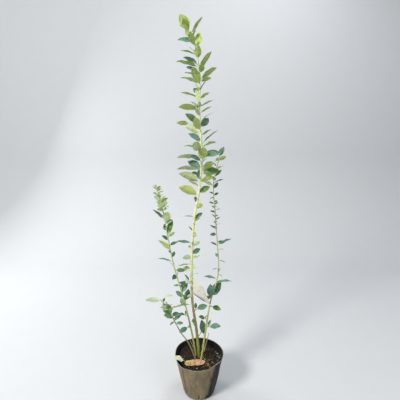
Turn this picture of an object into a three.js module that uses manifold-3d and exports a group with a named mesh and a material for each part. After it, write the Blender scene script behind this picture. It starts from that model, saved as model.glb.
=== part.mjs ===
// A young southern highbush blueberry in a soft film nursery pot.
// Millimetres, +Z up. The origin is the centre of the pot's flat underside.
// -Y is the plant's front, +X its right.

import * as THREE from "three";
import { mergeVertices } from "three/addons/utils/BufferGeometryUtils.js";
import Module from "manifold-3d";

const wasm = await Module();
wasm.setup();

// Driving dimensions of the pot and the soil
const POT_RIM_RADIUS = 75;
const POT_BASE_RADIUS = 49;
const POT_HEIGHT = 126;
const POT_WALL = 1.0;
const POT_FOOT_ROUND = 4;
const POT_SIDES = 54;
const DRAIN_HOLES = 6;
const DRAIN_RADIUS = 4.5;
const DRAIN_CIRCLE = 33;
const SOIL_EDGE = 106;
const SOIL_TOP = 111;
const SOIL_PLATEAU = 24;
const GAP = 0.3;

// The canes: radius at the foot and at the tip, and the places where each bends,
// as height, sideways and back from the pot's axis
const CANES = {
  centre: {
    foot: 4.4,
    tip: 1.5,
    bends: [
      [SOIL_TOP + GAP, 0, 0], [205, -8, 3], [295, -20, 7], [395, -22, 10], [485, -19, 11], [565, -12, 11],
      [625, -1, 10], [725, 8, 7], [845, 2, 2], [950, 1, -4], [1010, -10, -8], [1055, -29, -10],
    ],
  },
  left: {
    foot: 3.0,
    tip: 1.2,
    bends: [
      [SOIL_TOP + GAP, -9, 8], [225, -28, 2], [315, -47, -4], [420, -73, -12],
      [515, -89, -18], [595, -101, -24], [660, -118, -28],
    ],
  },
  right: {
    foot: 3.1,
    tip: 0.9,
    bends: [
      [SOIL_TOP + GAP, 7, -10], [195, 20, 6], [283, 34, 20], [376, 59, 34], [465, 56, 47],
      [565, 49, 61], [645, 44, 73], [700, 55, 79], [749, 67, 86],
    ],
  },
  low: {
    foot: 2.5,
    tip: 1.0,
    bends: [
      [SOIL_TOP + GAP, -10, -9], [180, -33, -22], [215, -52, -31], [255, -67, -43],
      [305, -85, -57], [348, -107, -70],
    ],
  },
};
const TAPER = 1.15;
const FLARE = 0.25;
const FLARE_HEIGHT = 9;
const CANE_STEP = 24;
const CANE_SIDES = 8;
const STEM_STEP = 32;
const STEM_SIDES = 6;
const SPUR_SIDES = 6;
const STUB_SIDES = 7;

// The heights at which the bare lower canes end and their leafy tops begin
const BARE_TOP = { centre: 371, left: 307, right: 295, low: 251 };

// Leaf rules: the turn from leaf to leaf, jitter in degrees, and blade sizes
const LEAF_TURN = 137.5;
const ROOT_FROM_FOOT = 4;
const ROOT_FROM_TOP = 7;
const BEARING_JITTER = 24;
const RISE_JITTER = 18;
const SHARE_SPREAD = [0.2, 0.8];
const LENGTH_SPREAD = [0.7, 1.2];
const WIDE_SPREAD = [0.38, 0.5];
const DROOP_SPREAD = [5, 35];
const TOUCH_SHARE = 0.46;
const TOUCH_ROOM = 1.5;
const OWN_CANE_ROOM = 1;
const OTHER_CANE_ROOM = 2;
const BLADE_WIDEST = 27;
const LEAF_STEPS = 8;
const LEAF_THICK = 1.0;
const LEAF_FOLD = 0.22;
const PETIOLE = 0.9;
const BLADE_STATIONS = [0, 0.3, 0.72];
const BLADE_PROBES = [0.07, 0.27, 0.47, 0.67, 0.87];
const SPUR_LENGTH = 7;
const SPUR_RADIUS = 1.2;
const SPUR_TAPER = 0.6;
const SPUR_RISE = 20;
const SPUR_ROOT = 0.55;
const SPUR_FAN = [65, 105];
const SPUR_FAN_RISE = [25, 65];
const SPUR_FAN_LENGTH = [0.5, 0.8];
const SPUR_FAN_ROLL = 50;
const SPUR_FAN_WIDE = [0.42, 0.52];

// A leaf that stands out in the plant's outline, set by hand
const own = (height, bearing, rise, length, roll, extra = {}) => (
  { height, bearing, rise, length, roll, ...extra }
);

// The leafy tops of the canes: heights, leaves grown by rule, their lengths at both ends,
// how far they rise and roll, the seed, and the leaves set by hand
const SHOOTS = [
  {
    name: "centre_shoot_1", cane: "centre", from: 371, to: 505, leaves: 9,
    length: [27, 27], rise: 14, roll: 70, seed: 182,
    own: [
      own(469, 330, 40, 36, -45, { wide: 0.4 }),
      own(433, 345, 28, 28, -55, { wide: 0.4 }),
      own(416, 188, -5, 42, 35, { wide: 0.42 }),
      own(481, 180, 7, 48, -10, { wide: 0.34 }),
    ],
  },
  {
    name: "centre_shoot_2", cane: "centre", from: 505, to: 640, leaves: 8,
    length: [30, 36], rise: 20, roll: 70, seed: 2897,
    own: [
      own(545, 350, 34, 23, -45, { wide: 0.4 }),
      own(621, 188, 26, 62, 60, { droop: 20, wide: 0.44 }),
    ],
  },
  {
    name: "centre_shoot_3", cane: "centre", from: 640, to: 780, leaves: 14,
    length: [46, 46], rise: 22, roll: 70, seed: 3448,
    own: [
      own(659, 187, 26, 66, 60, { droop: 20, wide: 0.42 }),
      own(690, 350, 37, 44, -45, { wide: 0.45 }),
      own(695, 180, 4, 69, 25, { wide: 0.36 }),
      own(720, 288, 64, 44, -15, { wide: 0.6 }),
      own(727, 185, 4, 69, 20, { wide: 0.36 }),
      own(756, 340, 28, 32, 35, { wide: 0.4 }),
      own(766, 10, 41, 60, 0, { droop: 0, wide: 0.3 }),
      own(756, 170, 7, 53, -20, { wide: 0.4 }),
    ],
  },
  {
    name: "centre_shoot_4", cane: "centre", from: 780, to: 910, leaves: 16,
    length: [44, 44], rise: 26, roll: 70, seed: 4004,
    own: [
      own(818, 185, 4, 64, 40, { droop: 0, stalk: 0.5, wide: 0.28 }),
      own(843, 240, 76, 65, 0, { droop: -10, stalk: 0.45, wide: 0.27 }),
      own(838, 235, 48, 30, 20, { wide: 0.36 }),
      own(847, 350, 28, 37, -10, { droop: 0, wide: 0.34 }),
      own(856, 190, 7, 58, 30, { droop: 25, wide: 0.4 }),
      own(863, 10, 28, 42, -20, { droop: 0, wide: 0.34 }),
      own(860, 270, 50, 22, 0, { droop: 0, wide: 0.4 }),
      own(885, 185, 17, 53, 5, { wide: 0.34 }),
      own(902, 340, 56, 32, 40, { wide: 0.34 }),
      own(902, 200, 55, 24, 0, { droop: 0, wide: 0.4 }),
    ],
  },
  {
    name: "centre_shoot_5", cane: "centre", from: 910, to: 1000, leaves: 8,
    length: [44, 42], rise: 30, roll: 70, seed: 78,
    own: [
      own(919, 173, 21, 56, -30, { droop: 20, wide: 0.42 }),
      own(932, 10, 35, 55, -20, { droop: 0, wide: 0.42 }),
      own(944, 173, 30, 41, -45, { droop: 20 }),
      own(954, 335, 52, 54, -10, { droop: 0, wide: 0.42 }),
      own(961, 195, 12, 61, 5, { wide: 0.36 }),
      own(979, 278, 70, 34, 0, { droop: 0, wide: 0.54 }),
      own(990, 175, 18, 44, 5, { wide: 0.3 }),
    ],
  },
  {
    name: "centre_tip", cane: "centre", from: 1000, to: 1054, leaves: 6,
    length: [38, 30], rise: 42, roll: 70, seed: 644,
    own: [
      own(1006, 335, 73, 38, -95, { droop: 5, wide: 0.7 }),
      own(1018, 174, 13, 44, -45, { droop: 30, wide: 0.45 }),
      own(1031, 165, 50, 26, 112, { wide: 0.66 }),
      own(1038, 4, 55, 51, -15, { droop: -10, wide: 0.34 }),
      own(1020, 13, 59, 51, 20, { droop: -5, wide: 0.32 }),
      own(1004, 10, 62, 34, 10, { droop: 0, wide: 0.36 }),
      own(1046, 178, 60, 44, 95, { droop: 5, wide: 0.62 }),
    ],
  },
  {
    name: "left_shoot_1", cane: "left", from: 307, to: 455, leaves: 11,
    length: [26, 25], rise: 16, roll: 70, seed: 138,
    own: [
      own(331, 30, 55, 34, 40, { wide: 0.45 }),
      own(432, 170, 11, 47, 10, { wide: 0.4 }),
    ],
  },
  {
    name: "left_shoot_2", cane: "left", from: 455, to: 577, leaves: 8,
    length: [28, 26], rise: 26, roll: 70, seed: 2032,
    own: [
      own(550, 309, 68, 39, -30, { droop: 0, wide: 0.57 }),
      own(515, 17, 70, 44, 35, { droop: 0, wide: 0.46 }),
      own(466, 187, 46, 48, 50),
      own(565, 173, 35, 40, 0, { droop: 0, wide: 0.42 }),
    ],
  },
  {
    name: "left_tip", cane: "left", from: 577, to: 659, leaves: 30,
    length: [30, 14], rise: 34, roll: 60, seed: 384, young: true,
    own: [],
  },
  {
    name: "right_shoot_1", cane: "right", from: 295, to: 405, leaves: 9,
    length: [25, 24], rise: 14, roll: 70, seed: 899,
    own: [
      own(299, 190, 86, 46, -95, { droop: 0, wide: 0.54 }),
      own(302, 30, 56, 58, 65, { droop: 0, wide: 0.46 }),
      own(346, 0, 7, 50, -5, { droop: 20, wide: 0.46 }),
      own(358, 175, 9, 43, 0, { droop: 15, wide: 0.46 }),
    ],
  },
  {
    name: "right_shoot_2", cane: "right", from: 405, to: 505, leaves: 8,
    length: [22, 20], rise: 14, roll: 70, seed: 1551,
    own: [
      own(462, 0, 27, 48, 5, { wide: 0.46 }),
    ],
  },
  {
    name: "right_shoot_3", cane: "right", from: 505, to: 627, leaves: 20,
    length: [17, 16], rise: 20, roll: 60, seed: 1926,
    own: [
      own(511, 175, 32, 24, -20),
    ],
  },
  {
    name: "right_tip", cane: "right", from: 627, to: 748, leaves: 16,
    length: [32, 26], rise: 34, roll: 70, seed: 53,
    own: [
      own(729, 13, 66, 34, 50, { droop: 0, wide: 0.52 }),
      own(717, 352, 31, 27, -60, { wide: 0.48 }),
      own(673, 5, 50, 42, 0, { stalk: 0.75, wide: 0.2 }),
      own(695, 350, 60, 34, 0, { stalk: 0.75, wide: 0.2 }),
    ],
  },
  {
    name: "low_shoot", cane: "low", from: 251, to: 347, leaves: 21,
    length: [24, 22], rise: 18, roll: 70, seed: 163, young: true,
    own: [
      own(341, 190, 10, 45, 70, { wide: 0.46 }),
      own(285, 160, 51, 43, -35, { wide: 0.6 }),
      own(340, 340, 34, 44, 0, { droop: 60, wide: 0.3 }),
      own(311, 10, 9, 64, -15, { stalk: 0.45, wide: 0.22 }),
    ],
  },
];

// Short leafy spurs on the bare lower canes: where each stands and points, its first leaf,
// and how many smaller leaves fan out beside it
const SPURS = [
  {
    name: "left_spur_1", cane: "left", height: 213, bearing: 200,
    rise: -20, length: 32, roll: -25, more: 1, seed: 1,
  },
  {
    name: "left_spur_2", cane: "left", height: 252, bearing: 170,
    rise: 10, length: 24, roll: 0, more: 2, seed: 2,
  },
  {
    name: "left_spur_3", cane: "left", height: 288, bearing: 195,
    rise: -5, length: 34, roll: 50, more: 2, seed: 3,
  },
  {
    name: "left_spur_4", cane: "left", height: 297, bearing: 60,
    rise: 60, length: 36, roll: 40, more: 1, seed: 4,
  },
  {
    name: "centre_spur_1", cane: "centre", height: 183, bearing: 10,
    rise: 55, length: 16, roll: 0, more: 0, seed: 5,
  },
  {
    name: "centre_spur_2", cane: "centre", height: 219, bearing: 165,
    rise: 60, length: 28, roll: -40, more: 2, seed: 6,
  },
  {
    name: "centre_spur_3", cane: "centre", height: 267, bearing: 20,
    rise: 10, length: 38, roll: 30, more: 1, seed: 7,
  },
  {
    name: "centre_spur_4", cane: "centre", height: 311, bearing: 195,
    rise: 10, length: 22, roll: 45, more: 2, seed: 8,
  },
  {
    name: "centre_spur_5", cane: "centre", height: 357, bearing: 172,
    rise: 55, length: 26, roll: 0, more: 0, seed: 13,
  },
  {
    name: "right_spur_1", cane: "right", height: 177, bearing: 110,
    rise: 62, length: 46, roll: 0, more: 1, seed: 9,
  },
  {
    name: "right_spur_2", cane: "right", height: 210, bearing: 345,
    rise: 12, length: 40, roll: 20, more: 2, seed: 10,
  },
  {
    name: "right_spur_3", cane: "right", height: 235, bearing: 205,
    rise: 30, length: 26, roll: -40, more: 1, seed: 11,
  },
  {
    name: "right_spur_4", cane: "right", height: 273, bearing: 335,
    rise: -5, length: 32, roll: 30, more: 2, seed: 12,
  },
];

const DEG = Math.PI / 180;
const plus = (a, b, k = 1) => [a[0] + b[0] * k, a[1] + b[1] * k, a[2] + b[2] * k];
const dot = (a, b) => a[0] * b[0] + a[1] * b[1] + a[2] * b[2];
const cross = (a, b) => [
  a[1] * b[2] - a[2] * b[1],
  a[2] * b[0] - a[0] * b[2],
  a[0] * b[1] - a[1] * b[0],
];
const unit = (a) => plus([0, 0, 0], a, 1 / Math.sqrt(dot(a, a)));
const distance = (a, b) => Math.sqrt(dot(plus(a, b, -1), plus(a, b, -1)));
const mix = (a, b, t) => a + (b - a) * t;

// Repeatable random numbers from 0 to 1
function randomFrom(seed) {
  let state = (seed * 7919 + 104729) % 2147483647;
  return () => {
    state = (state * 16807) % 2147483647;
    return state / 2147483647;
  };
}

// One coordinate of a cane at a height, smooth through its bends
function bendAt(bends, height, axis) {
  const last = bends.length - 1;
  let i = 0;
  while (i < last - 1 && height > bends[i + 1][0]) i += 1;
  const slope = (j) => {
    const before = bends[Math.max(j - 1, 0)];
    const after = bends[Math.min(j + 1, last)];
    return (after[axis] - before[axis]) / (after[0] - before[0]);
  };
  const [a, b] = [bends[i], bends[i + 1]];
  const rise = b[0] - a[0];
  const t = (height - a[0]) / rise;
  return (
    (2 * t ** 3 - 3 * t ** 2 + 1) * a[axis] +
    (t ** 3 - 2 * t ** 2 + t) * slope(i) * rise +
    (3 * t ** 2 - 2 * t ** 3) * b[axis] +
    (t ** 3 - t ** 2) * slope(i + 1) * rise
  );
}

function canePoint(cane, height) {
  const { bends } = CANES[cane];
  return [bendAt(bends, height, 1), bendAt(bends, height, 2), height];
}

function caneRadius(cane, height) {
  const { foot, tip, bends } = CANES[cane];
  const bottom = bends[0][0];
  const top = bends[bends.length - 1][0];
  const t = Math.min(Math.max((height - bottom) / (top - bottom), 0), 1);
  const flare = 1 + FLARE * Math.exp(-(height - bottom) / FLARE_HEIGHT);
  return (tip + (foot - tip) * (1 - t) ** TAPER) * flare;
}

// Leaf growth

const heading = (bearing, rise) => [
  Math.cos(rise * DEG) * Math.cos(bearing * DEG),
  Math.cos(rise * DEG) * Math.sin(bearing * DEG),
  Math.sin(rise * DEG),
];

const bladeWidth = (u) => Math.max(0, Math.sin(Math.PI * u ** 0.9)) ** 0.8;

function makeLeaf(root, { bearing, rise, length, roll, droop = 10, stalk = 0.12, wide = 0.48 }) {
  const leaf = { root, bearing, rise, length, roll, droop, stalk };
  leaf.width = Math.min(wide * length, BLADE_WIDEST);
  leaf.probes = BLADE_PROBES.map((u) => {
    const { at, side } = leafFrame(leaf, stalk + (1 - stalk) * u);
    const half = (leaf.width / 2) * bladeWidth(u);
    return { at, half, edges: [at, plus(at, side, half), plus(at, side, -half)] };
  });
  return leaf;
}

// The midrib leaves the root above its mean rise and ends below it, by half the droop each
function midrib(leaf, share) {
  const steps = share * LEAF_STEPS;
  let at = leaf.root;
  for (let i = 0; i < steps - 1e-9; i += 1) {
    const rise = leaf.rise + leaf.droop * (0.5 - (i + 0.5) / LEAF_STEPS);
    at = plus(at, heading(leaf.bearing, rise), (leaf.length / LEAF_STEPS) * Math.min(1, steps - i));
  }
  return at;
}

// The blade's upper face looks up and back to the stem, then rolls about the midrib
function leafFrame(leaf, share) {
  const rise = leaf.rise + leaf.droop * (0.5 - share);
  const along = heading(leaf.bearing, rise);
  const up = heading(leaf.bearing, rise + 90);
  const across = cross(along, up);
  const face = plus(up.map((v) => v * Math.cos(leaf.roll * DEG)), across, Math.sin(leaf.roll * DEG));
  return { at: midrib(leaf, share), side: cross(along, face), face };
}

function leavesTouch(a, b) {
  return a.probes.some((p) => b.probes.some((q) => (
    distance(p.at, q.at) < TOUCH_SHARE * (p.half + q.half) + TOUCH_ROOM
  )));
}

function clearOfCanes(leaf, ownCane) {
  return leaf.probes.every((probe, i) => Object.keys(CANES).every((cane) => {
    if (cane === ownCane && i === 0) return true;
    const { bends } = CANES[cane];
    const room = cane === ownCane ? OWN_CANE_ROOM : OTHER_CANE_ROOM;
    return probe.edges.every((at) => {
      const height = Math.min(Math.max(at[2], bends[0][0]), bends[bends.length - 1][0]);
      return distance(at, canePoint(cane, height)) >= caneRadius(cane, height) + room;
    });
  }));
}

// Grown leaves that touch no cane and no leaf that is already there
const grownLeaves = [];
function keepClear(leaves, ownCane) {
  const kept = leaves.filter((leaf) => {
    const clear = clearOfCanes(leaf, ownCane) && !grownLeaves.some((other) => leavesTouch(leaf, other));
    if (clear) grownLeaves.push(leaf);
    return clear;
  });
  return kept;
}

function growShoot(shoot) {
  const random = randomFrom(shoot.seed);
  const swing = () => 2 * random() - 1;
  const within = ([low, high]) => mix(low, high, random());
  const leaves = shoot.own.map((each) => makeLeaf(canePoint(shoot.cane, each.height), each));
  const phase = random() * 360;
  for (let k = 0; k < shoot.leaves; k += 1) {
    const share = (k + within(SHARE_SPREAD)) / shoot.leaves;
    const height = mix(shoot.from + ROOT_FROM_FOOT, shoot.to - ROOT_FROM_TOP, share);
    const bearing = phase + k * LEAF_TURN + swing() * BEARING_JITTER;
    const rise = shoot.rise + swing() * RISE_JITTER;
    const length = mix(shoot.length[0], shoot.length[1], share) * within(LENGTH_SPREAD);
    const wide = within(WIDE_SPREAD);
    const roll = swing() * shoot.roll;
    const droop = within(DROOP_SPREAD);
    leaves.push(makeLeaf(canePoint(shoot.cane, height), { bearing, rise, length, roll, droop, wide }));
  }
  return keepClear(leaves, shoot.cane);
}

// Where a side twig starts, so that the low edge of its cut end stands just off its cane
function besideCane({ cane, height, bearing }, rise, radius) {
  const out = caneRadius(cane, height) + GAP + radius * Math.sin(rise * DEG);
  return plus(canePoint(cane, height), heading(bearing, 0), out);
}

function spurStem(spur) {
  const rise = Math.max(spur.rise, SPUR_RISE);
  const start = besideCane(spur, rise, SPUR_RADIUS);
  const along = heading(spur.bearing, rise);
  return { start, tip: plus(start, along, SPUR_LENGTH), middle: plus(start, along, SPUR_LENGTH * SPUR_ROOT) };
}

function growSpur(spur) {
  const random = randomFrom(spur.seed);
  const within = ([low, high]) => mix(low, high, random());
  const { middle } = spurStem(spur);
  const leaves = [makeLeaf(middle, { ...spur, wide: 0.5 })];
  for (let k = 0; k < spur.more; k += 1) {
    const side = k % 2 === 0 ? 1 : -1;
    const bearing = spur.bearing + side * within(SPUR_FAN);
    const rise = within(SPUR_FAN_RISE);
    const length = spur.length * within(SPUR_FAN_LENGTH);
    const roll = (2 * random() - 1) * SPUR_FAN_ROLL;
    const wide = within(SPUR_FAN_WIDE);
    leaves.push(makeLeaf(middle, { bearing, rise, length, roll, wide }));
  }
  return keepClear(leaves, spur.cane);
}

// Geometry from rings

function geometryFrom(points, triangles) {
  const geometry = new THREE.BufferGeometry();
  geometry.setAttribute("position", new THREE.Float32BufferAttribute(points.flat(), 3));
  geometry.setIndex(triangles.flat());
  return geometry;
}

// A closed skin over rings of equal count, counterclockwise about the way they run.
// It ends flat, or at a tip.
function loft(rings, tip) {
  const count = rings[0].length;
  const triangles = [];
  for (let j = 0; j + 1 < rings.length; j += 1) {
    for (let i = 0; i < count; i += 1) {
      const a = j * count + i;
      const b = j * count + ((i + 1) % count);
      triangles.push([a, b, b + count], [a, b + count, a + count]);
    }
  }
  const end = (rings.length - 1) * count;
  for (let i = 1; i + 1 < count; i += 1) triangles.push([0, i + 1, i]);
  if (!tip) {
    for (let i = 1; i + 1 < count; i += 1) triangles.push([end, end + i, end + i + 1]);
    return geometryFrom(rings.flat(), triangles);
  }
  for (let i = 0; i < count; i += 1) triangles.push([end + i, end + ((i + 1) % count), end + count]);
  return geometryFrom([...rings.flat(), tip], triangles);
}

// A turned skin whose profile, from axis to axis, may change with the angle
function turned(profileAt, sides) {
  const columns = Array.from({ length: sides }, (_, i) => profileAt((i / sides) * 2 * Math.PI));
  const inner = columns[0].length - 2;
  const points = columns.flatMap((profile, i) => {
    const angle = (i / sides) * 2 * Math.PI;
    return profile.slice(1, -1).map(([r, z]) => [r * Math.cos(angle), r * Math.sin(angle), z]);
  });
  const bottom = points.push([0, 0, columns[0][0][1]]) - 1;
  const top = points.push([0, 0, columns[0][inner + 1][1]]) - 1;
  const triangles = [];
  for (let i = 0; i < sides; i += 1) {
    const a = i * inner;
    const b = ((i + 1) % sides) * inner;
    triangles.push([bottom, b, a], [top, a + inner - 1, b + inner - 1]);
    for (let j = 0; j + 1 < inner; j += 1) {
      triangles.push([a + j, b + j, b + j + 1], [a + j, b + j + 1, a + j + 1]);
    }
  }
  return geometryFrom(points, triangles);
}

// A round ring square to the way a limb runs there
function ringAt(centre, along, radius, sides) {
  const right = unit(cross([0, 1, 0], along));
  const back = cross(along, right);
  return Array.from({ length: sides }, (_, k) => {
    const angle = (k / sides) * 2 * Math.PI;
    return plus(plus(centre, right, radius * Math.cos(angle)), back, radius * Math.sin(angle));
  });
}

// A length of cane in level rings, so that its cut ends are flat and meet squarely
function caneLimb(cane, from, to, step, sides) {
  const count = Math.max(2, Math.round((to - from) / step));
  return loft(Array.from({ length: count + 1 }, (_, i) => {
    const height = mix(from, to, i / count);
    return ringAt(canePoint(cane, height), [0, 0, 1], caneRadius(cane, height), sides);
  }));
}

// A folded blade: four points a ring, at the right edge, underside, left edge and midrib
function leafBody(leaf) {
  const half = LEAF_THICK / 2;
  const ring = (share, reach, lift) => {
    const { at, side, face } = leafFrame(leaf, share);
    return [
      plus(plus(at, side, reach), face, lift),
      plus(at, face, -half),
      plus(plus(at, side, -reach), face, lift),
      plus(at, face, half),
    ];
  };
  const rings = [ring(0, PETIOLE, 0)];
  for (const u of BLADE_STATIONS) {
    const reach = u === 0 ? PETIOLE : (leaf.width / 2) * bladeWidth(u);
    rings.push(ring(leaf.stalk + (1 - leaf.stalk) * u, reach, u === 0 ? 0 : reach * LEAF_FOLD));
  }
  return loft(rings, midrib(leaf, 1));
}

// Boolean joins

function solidFrom(geometry) {
  const bare = geometry.clone();
  bare.deleteAttribute("normal");
  bare.deleteAttribute("uv");
  const merged = mergeVertices(bare, 1e-4);
  return new wasm.Manifold(new wasm.Mesh({
    numProp: 3,
    vertProperties: new Float32Array(merged.attributes.position.array),
    triVerts: new Uint32Array(merged.index.array),
  }));
}

function geometryOf(solid) {
  const { vertProperties, triVerts } = solid.getMesh();
  const geometry = new THREE.BufferGeometry();
  geometry.setAttribute("position", new THREE.BufferAttribute(vertProperties, 3));
  geometry.setIndex(new THREE.BufferAttribute(triVerts, 1));
  return geometry;
}

const fused = (bodies) => geometryOf(bodies.map(solidFrom).reduce((whole, body) => whole.add(body)));

// Materials

const paint = (color, roughness) => new THREE.MeshStandardMaterial({ color, roughness, metalness: 0 });
const FILM = paint(0x6f634c, 0.45);
const PEAT = paint(0x2a2019, 0.95);
const BARK = paint(0xa98a6b, 0.9);
const CANE_BARK = paint(0x77803f, 0.6);
const LEAF = paint(0x5f8664, 0.55);
const YOUNG_LEAF = paint(0x9fb47c, 0.55);
const DRY_LEAF = paint(0xb4c39a, 0.6);
const DEAD_WOOD = paint(0x9c8f74, 0.9);
const PAPER = paint(0xe6e1d3, 0.7);
const TWINE = paint(0xb7b872, 0.7);

const plant = new THREE.Group();

function addMesh(name, geometry, material) {
  const mesh = new THREE.Mesh(geometry, material);
  mesh.name = name;
  plant.add(mesh);
}

// The pot: a thin tapering film cup whose rim stands high at the front right and sags at the
// front left, with one dent at the foot
const rimSway = (angle) => 1.1 * Math.sin(3 * angle + 0.5) + 0.7 * Math.sin(5 * angle + 2);
const swell = (angle, centre, width) => Math.exp(-(((angle / DEG - centre) / width) ** 2));
const rimRise = (angle) => (
  4 * swell(angle, 300, 42) - 6 * swell(angle, 224, 16) + 0.6 * Math.sin(5 * angle + 0.4) - 1
);
const DENT_BEARING = 268 * DEG;
const DENT_WIDTH = 7 * DEG;
const DENT_HEIGHT = 26;
const DENT_DEPTH = 2.2;

function potRadius(angle, height) {
  const share = Math.max(0, height / POT_HEIGHT);
  const dent = DENT_DEPTH
    * Math.exp(-(((angle - DENT_BEARING) / DENT_WIDTH) ** 2))
    * Math.max(0, 1 - height / DENT_HEIGHT);
  return mix(POT_BASE_RADIUS, POT_RIM_RADIUS, share) + rimSway(angle) * share ** 2 - dent;
}

function potProfile(angle) {
  const top = POT_HEIGHT + rimRise(angle);
  const outer = [0.03, 0.12, 0.28, 0.5, 0.75, 1].map((t) => mix(0, top, t));
  const wall = (height) => potRadius(angle, height) - POT_WALL;
  return [
    [0, 0],
    [POT_BASE_RADIUS - POT_FOOT_ROUND - DENT_DEPTH, 0],
    ...outer.map((height) => [potRadius(angle, height), height]),
    ...outer.slice(1).reverse().map((height) => [wall(height), height]),
    [wall(POT_FOOT_ROUND), POT_FOOT_ROUND],
    [POT_BASE_RADIUS - POT_FOOT_ROUND - DENT_DEPTH - POT_WALL, POT_WALL],
    [0, POT_WALL],
  ];
}

function makePot() {
  let pot = solidFrom(turned(potProfile, POT_SIDES));
  for (let k = 0; k < DRAIN_HOLES; k += 1) {
    const angle = (k / DRAIN_HOLES) * 2 * Math.PI;
    const drill = new THREE.CylinderGeometry(DRAIN_RADIUS, DRAIN_RADIUS, POT_WALL * 4, 12);
    drill.rotateX(Math.PI / 2);
    drill.translate(DRAIN_CIRCLE * Math.cos(angle), DRAIN_CIRCLE * Math.sin(angle), 0);
    pot = pot.subtract(solidFrom(drill));
  }
  addMesh("pot", geometryOf(pot), FILM);
}

// The soil: peat that fills the pot, mounded round a level place where the canes stand
const soilLump = (angle, r) => 0.9 * Math.sin(4 * angle + r / 7) + 0.7 * Math.sin(7 * angle - r / 9);

function soilHeight(angle, r) {
  if (r <= SOIL_PLATEAU) return SOIL_TOP;
  const share = (r - SOIL_PLATEAU) / (POT_RIM_RADIUS - SOIL_PLATEAU);
  return mix(SOIL_TOP, SOIL_EDGE, share ** 1.3) + soilLump(angle, r) * Math.min(1, share * 3);
}

function soilProfile(angle) {
  const inset = POT_WALL + GAP + 0.15;
  const side = (height) => potRadius(angle, height) - inset;
  const edge = side(SOIL_EDGE) - 0.3;
  const tops = [1, 0.82, 0.62, 0.45].map((t) => edge * t);
  return [
    [0, POT_WALL + GAP],
    [POT_BASE_RADIUS - POT_FOOT_ROUND - DENT_DEPTH - inset - 2, POT_WALL + GAP],
    ...[8, 18, 36, 62, 90].map((height) => [side(height), height]),
    ...tops.map((r) => [r, soilHeight(angle, r)]),
    [SOIL_PLATEAU, SOIL_TOP],
    [0, SOIL_TOP],
  ];
}

// A chunk of bark that lies on the soil, thickest in its middle
const CHIP = { x: -12, y: -26, bearing: 3, length: 60, width: 21, thick: 8, edge: 0.8, lift: 0.9 };
const CHIP_STEPS = 6;
const CHIP_COLUMNS = 4;

function makeChip() {
  const rings = [];
  const [ux, uy] = [Math.cos(CHIP.bearing * DEG), Math.sin(CHIP.bearing * DEG)];
  for (let i = 0; i <= CHIP_STEPS; i += 1) {
    const t = i / CHIP_STEPS;
    const half = (CHIP.width / 2) * mix(0.35, 1, Math.sin(Math.PI * t) ** 0.6);
    const tall = CHIP.thick * mix(0.45, 1, Math.sin(Math.PI * t));
    const under = [];
    const over = [];
    for (let k = 0; k <= CHIP_COLUMNS; k += 1) {
      const w = (k / CHIP_COLUMNS) * 2 - 1;
      const x = CHIP.x + ux * (t - 0.5) * CHIP.length - uy * half * w;
      const y = CHIP.y + uy * (t - 0.5) * CHIP.length + ux * half * w;
      const ground = soilHeight(Math.atan2(y, x), Math.hypot(x, y)) + CHIP.lift;
      under.push([x, y, ground]);
      over.push([x, y, ground + CHIP.edge + tall * Math.sqrt(Math.max(0, 1 - w * w))]);
    }
    rings.push([...under, ...over.reverse()]);
  }
  return loft(rings);
}

// The label: a bare curled sheet, hung beside the central cane by an oval tie.
// Its corners, how far its left edge and its middle bulge, and the tie's hole in it
const LABEL = {
  topLeft: [-9, 2, 369],
  topRight: [13, -20, 356],
  bottomLeft: [-11, -8, 321],
  bottomRight: [34, -18, 297],
  edgeBulge: [-8, -2, -3],
  crown: 3,
  thick: 0.8,
  hole: { across: 0.15, along: 0.36, radius: 2.6 },
};
const LABEL_STEPS = 5;
const LABEL_COLUMNS = 4;
const TIE = { backHeight: 373, radius: 0.8, halfWidth: 7 };

const blend = (a, b, t) => plus(plus([0, 0, 0], a, 1 - t), b, t);

function labelMiddle(across, along) {
  const bulge = Math.sin(Math.PI * along);
  const left = plus(blend(LABEL.topLeft, LABEL.bottomLeft, along), LABEL.edgeBulge, bulge);
  const right = blend(LABEL.topRight, LABEL.bottomRight, along);
  return blend(left, right, across);
}

const labelFace = unit(cross(
  plus(labelMiddle(1, 0.5), labelMiddle(0, 0.5), -1),
  plus(labelMiddle(0.5, 1), labelMiddle(0.5, 0), -1),
));

const labelPoint = (across, along, off = 0) => (
  plus(labelMiddle(across, along), labelFace, -LABEL.crown * Math.sin(Math.PI * across) + off)
);

function makeLabel() {
  const rings = [];
  for (let j = 0; j <= LABEL_STEPS; j += 1) {
    const row = (off) => Array.from({ length: LABEL_COLUMNS + 1 }, (_, i) => (
      labelPoint(i / LABEL_COLUMNS, j / LABEL_STEPS, off)
    ));
    rings.push([...row(LABEL.thick / 2), ...row(-LABEL.thick / 2).reverse()]);
  }
  const drill = new THREE.CylinderGeometry(LABEL.hole.radius, LABEL.hole.radius, 8, 12);
  drill.applyQuaternion(new THREE.Quaternion().setFromUnitVectors(
    new THREE.Vector3(0, 1, 0),
    new THREE.Vector3(...labelFace),
  ));
  drill.translate(...labelPoint(LABEL.hole.across, LABEL.hole.along));
  return geometryOf(solidFrom(loft(rings)).subtract(solidFrom(drill)));
}

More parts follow.
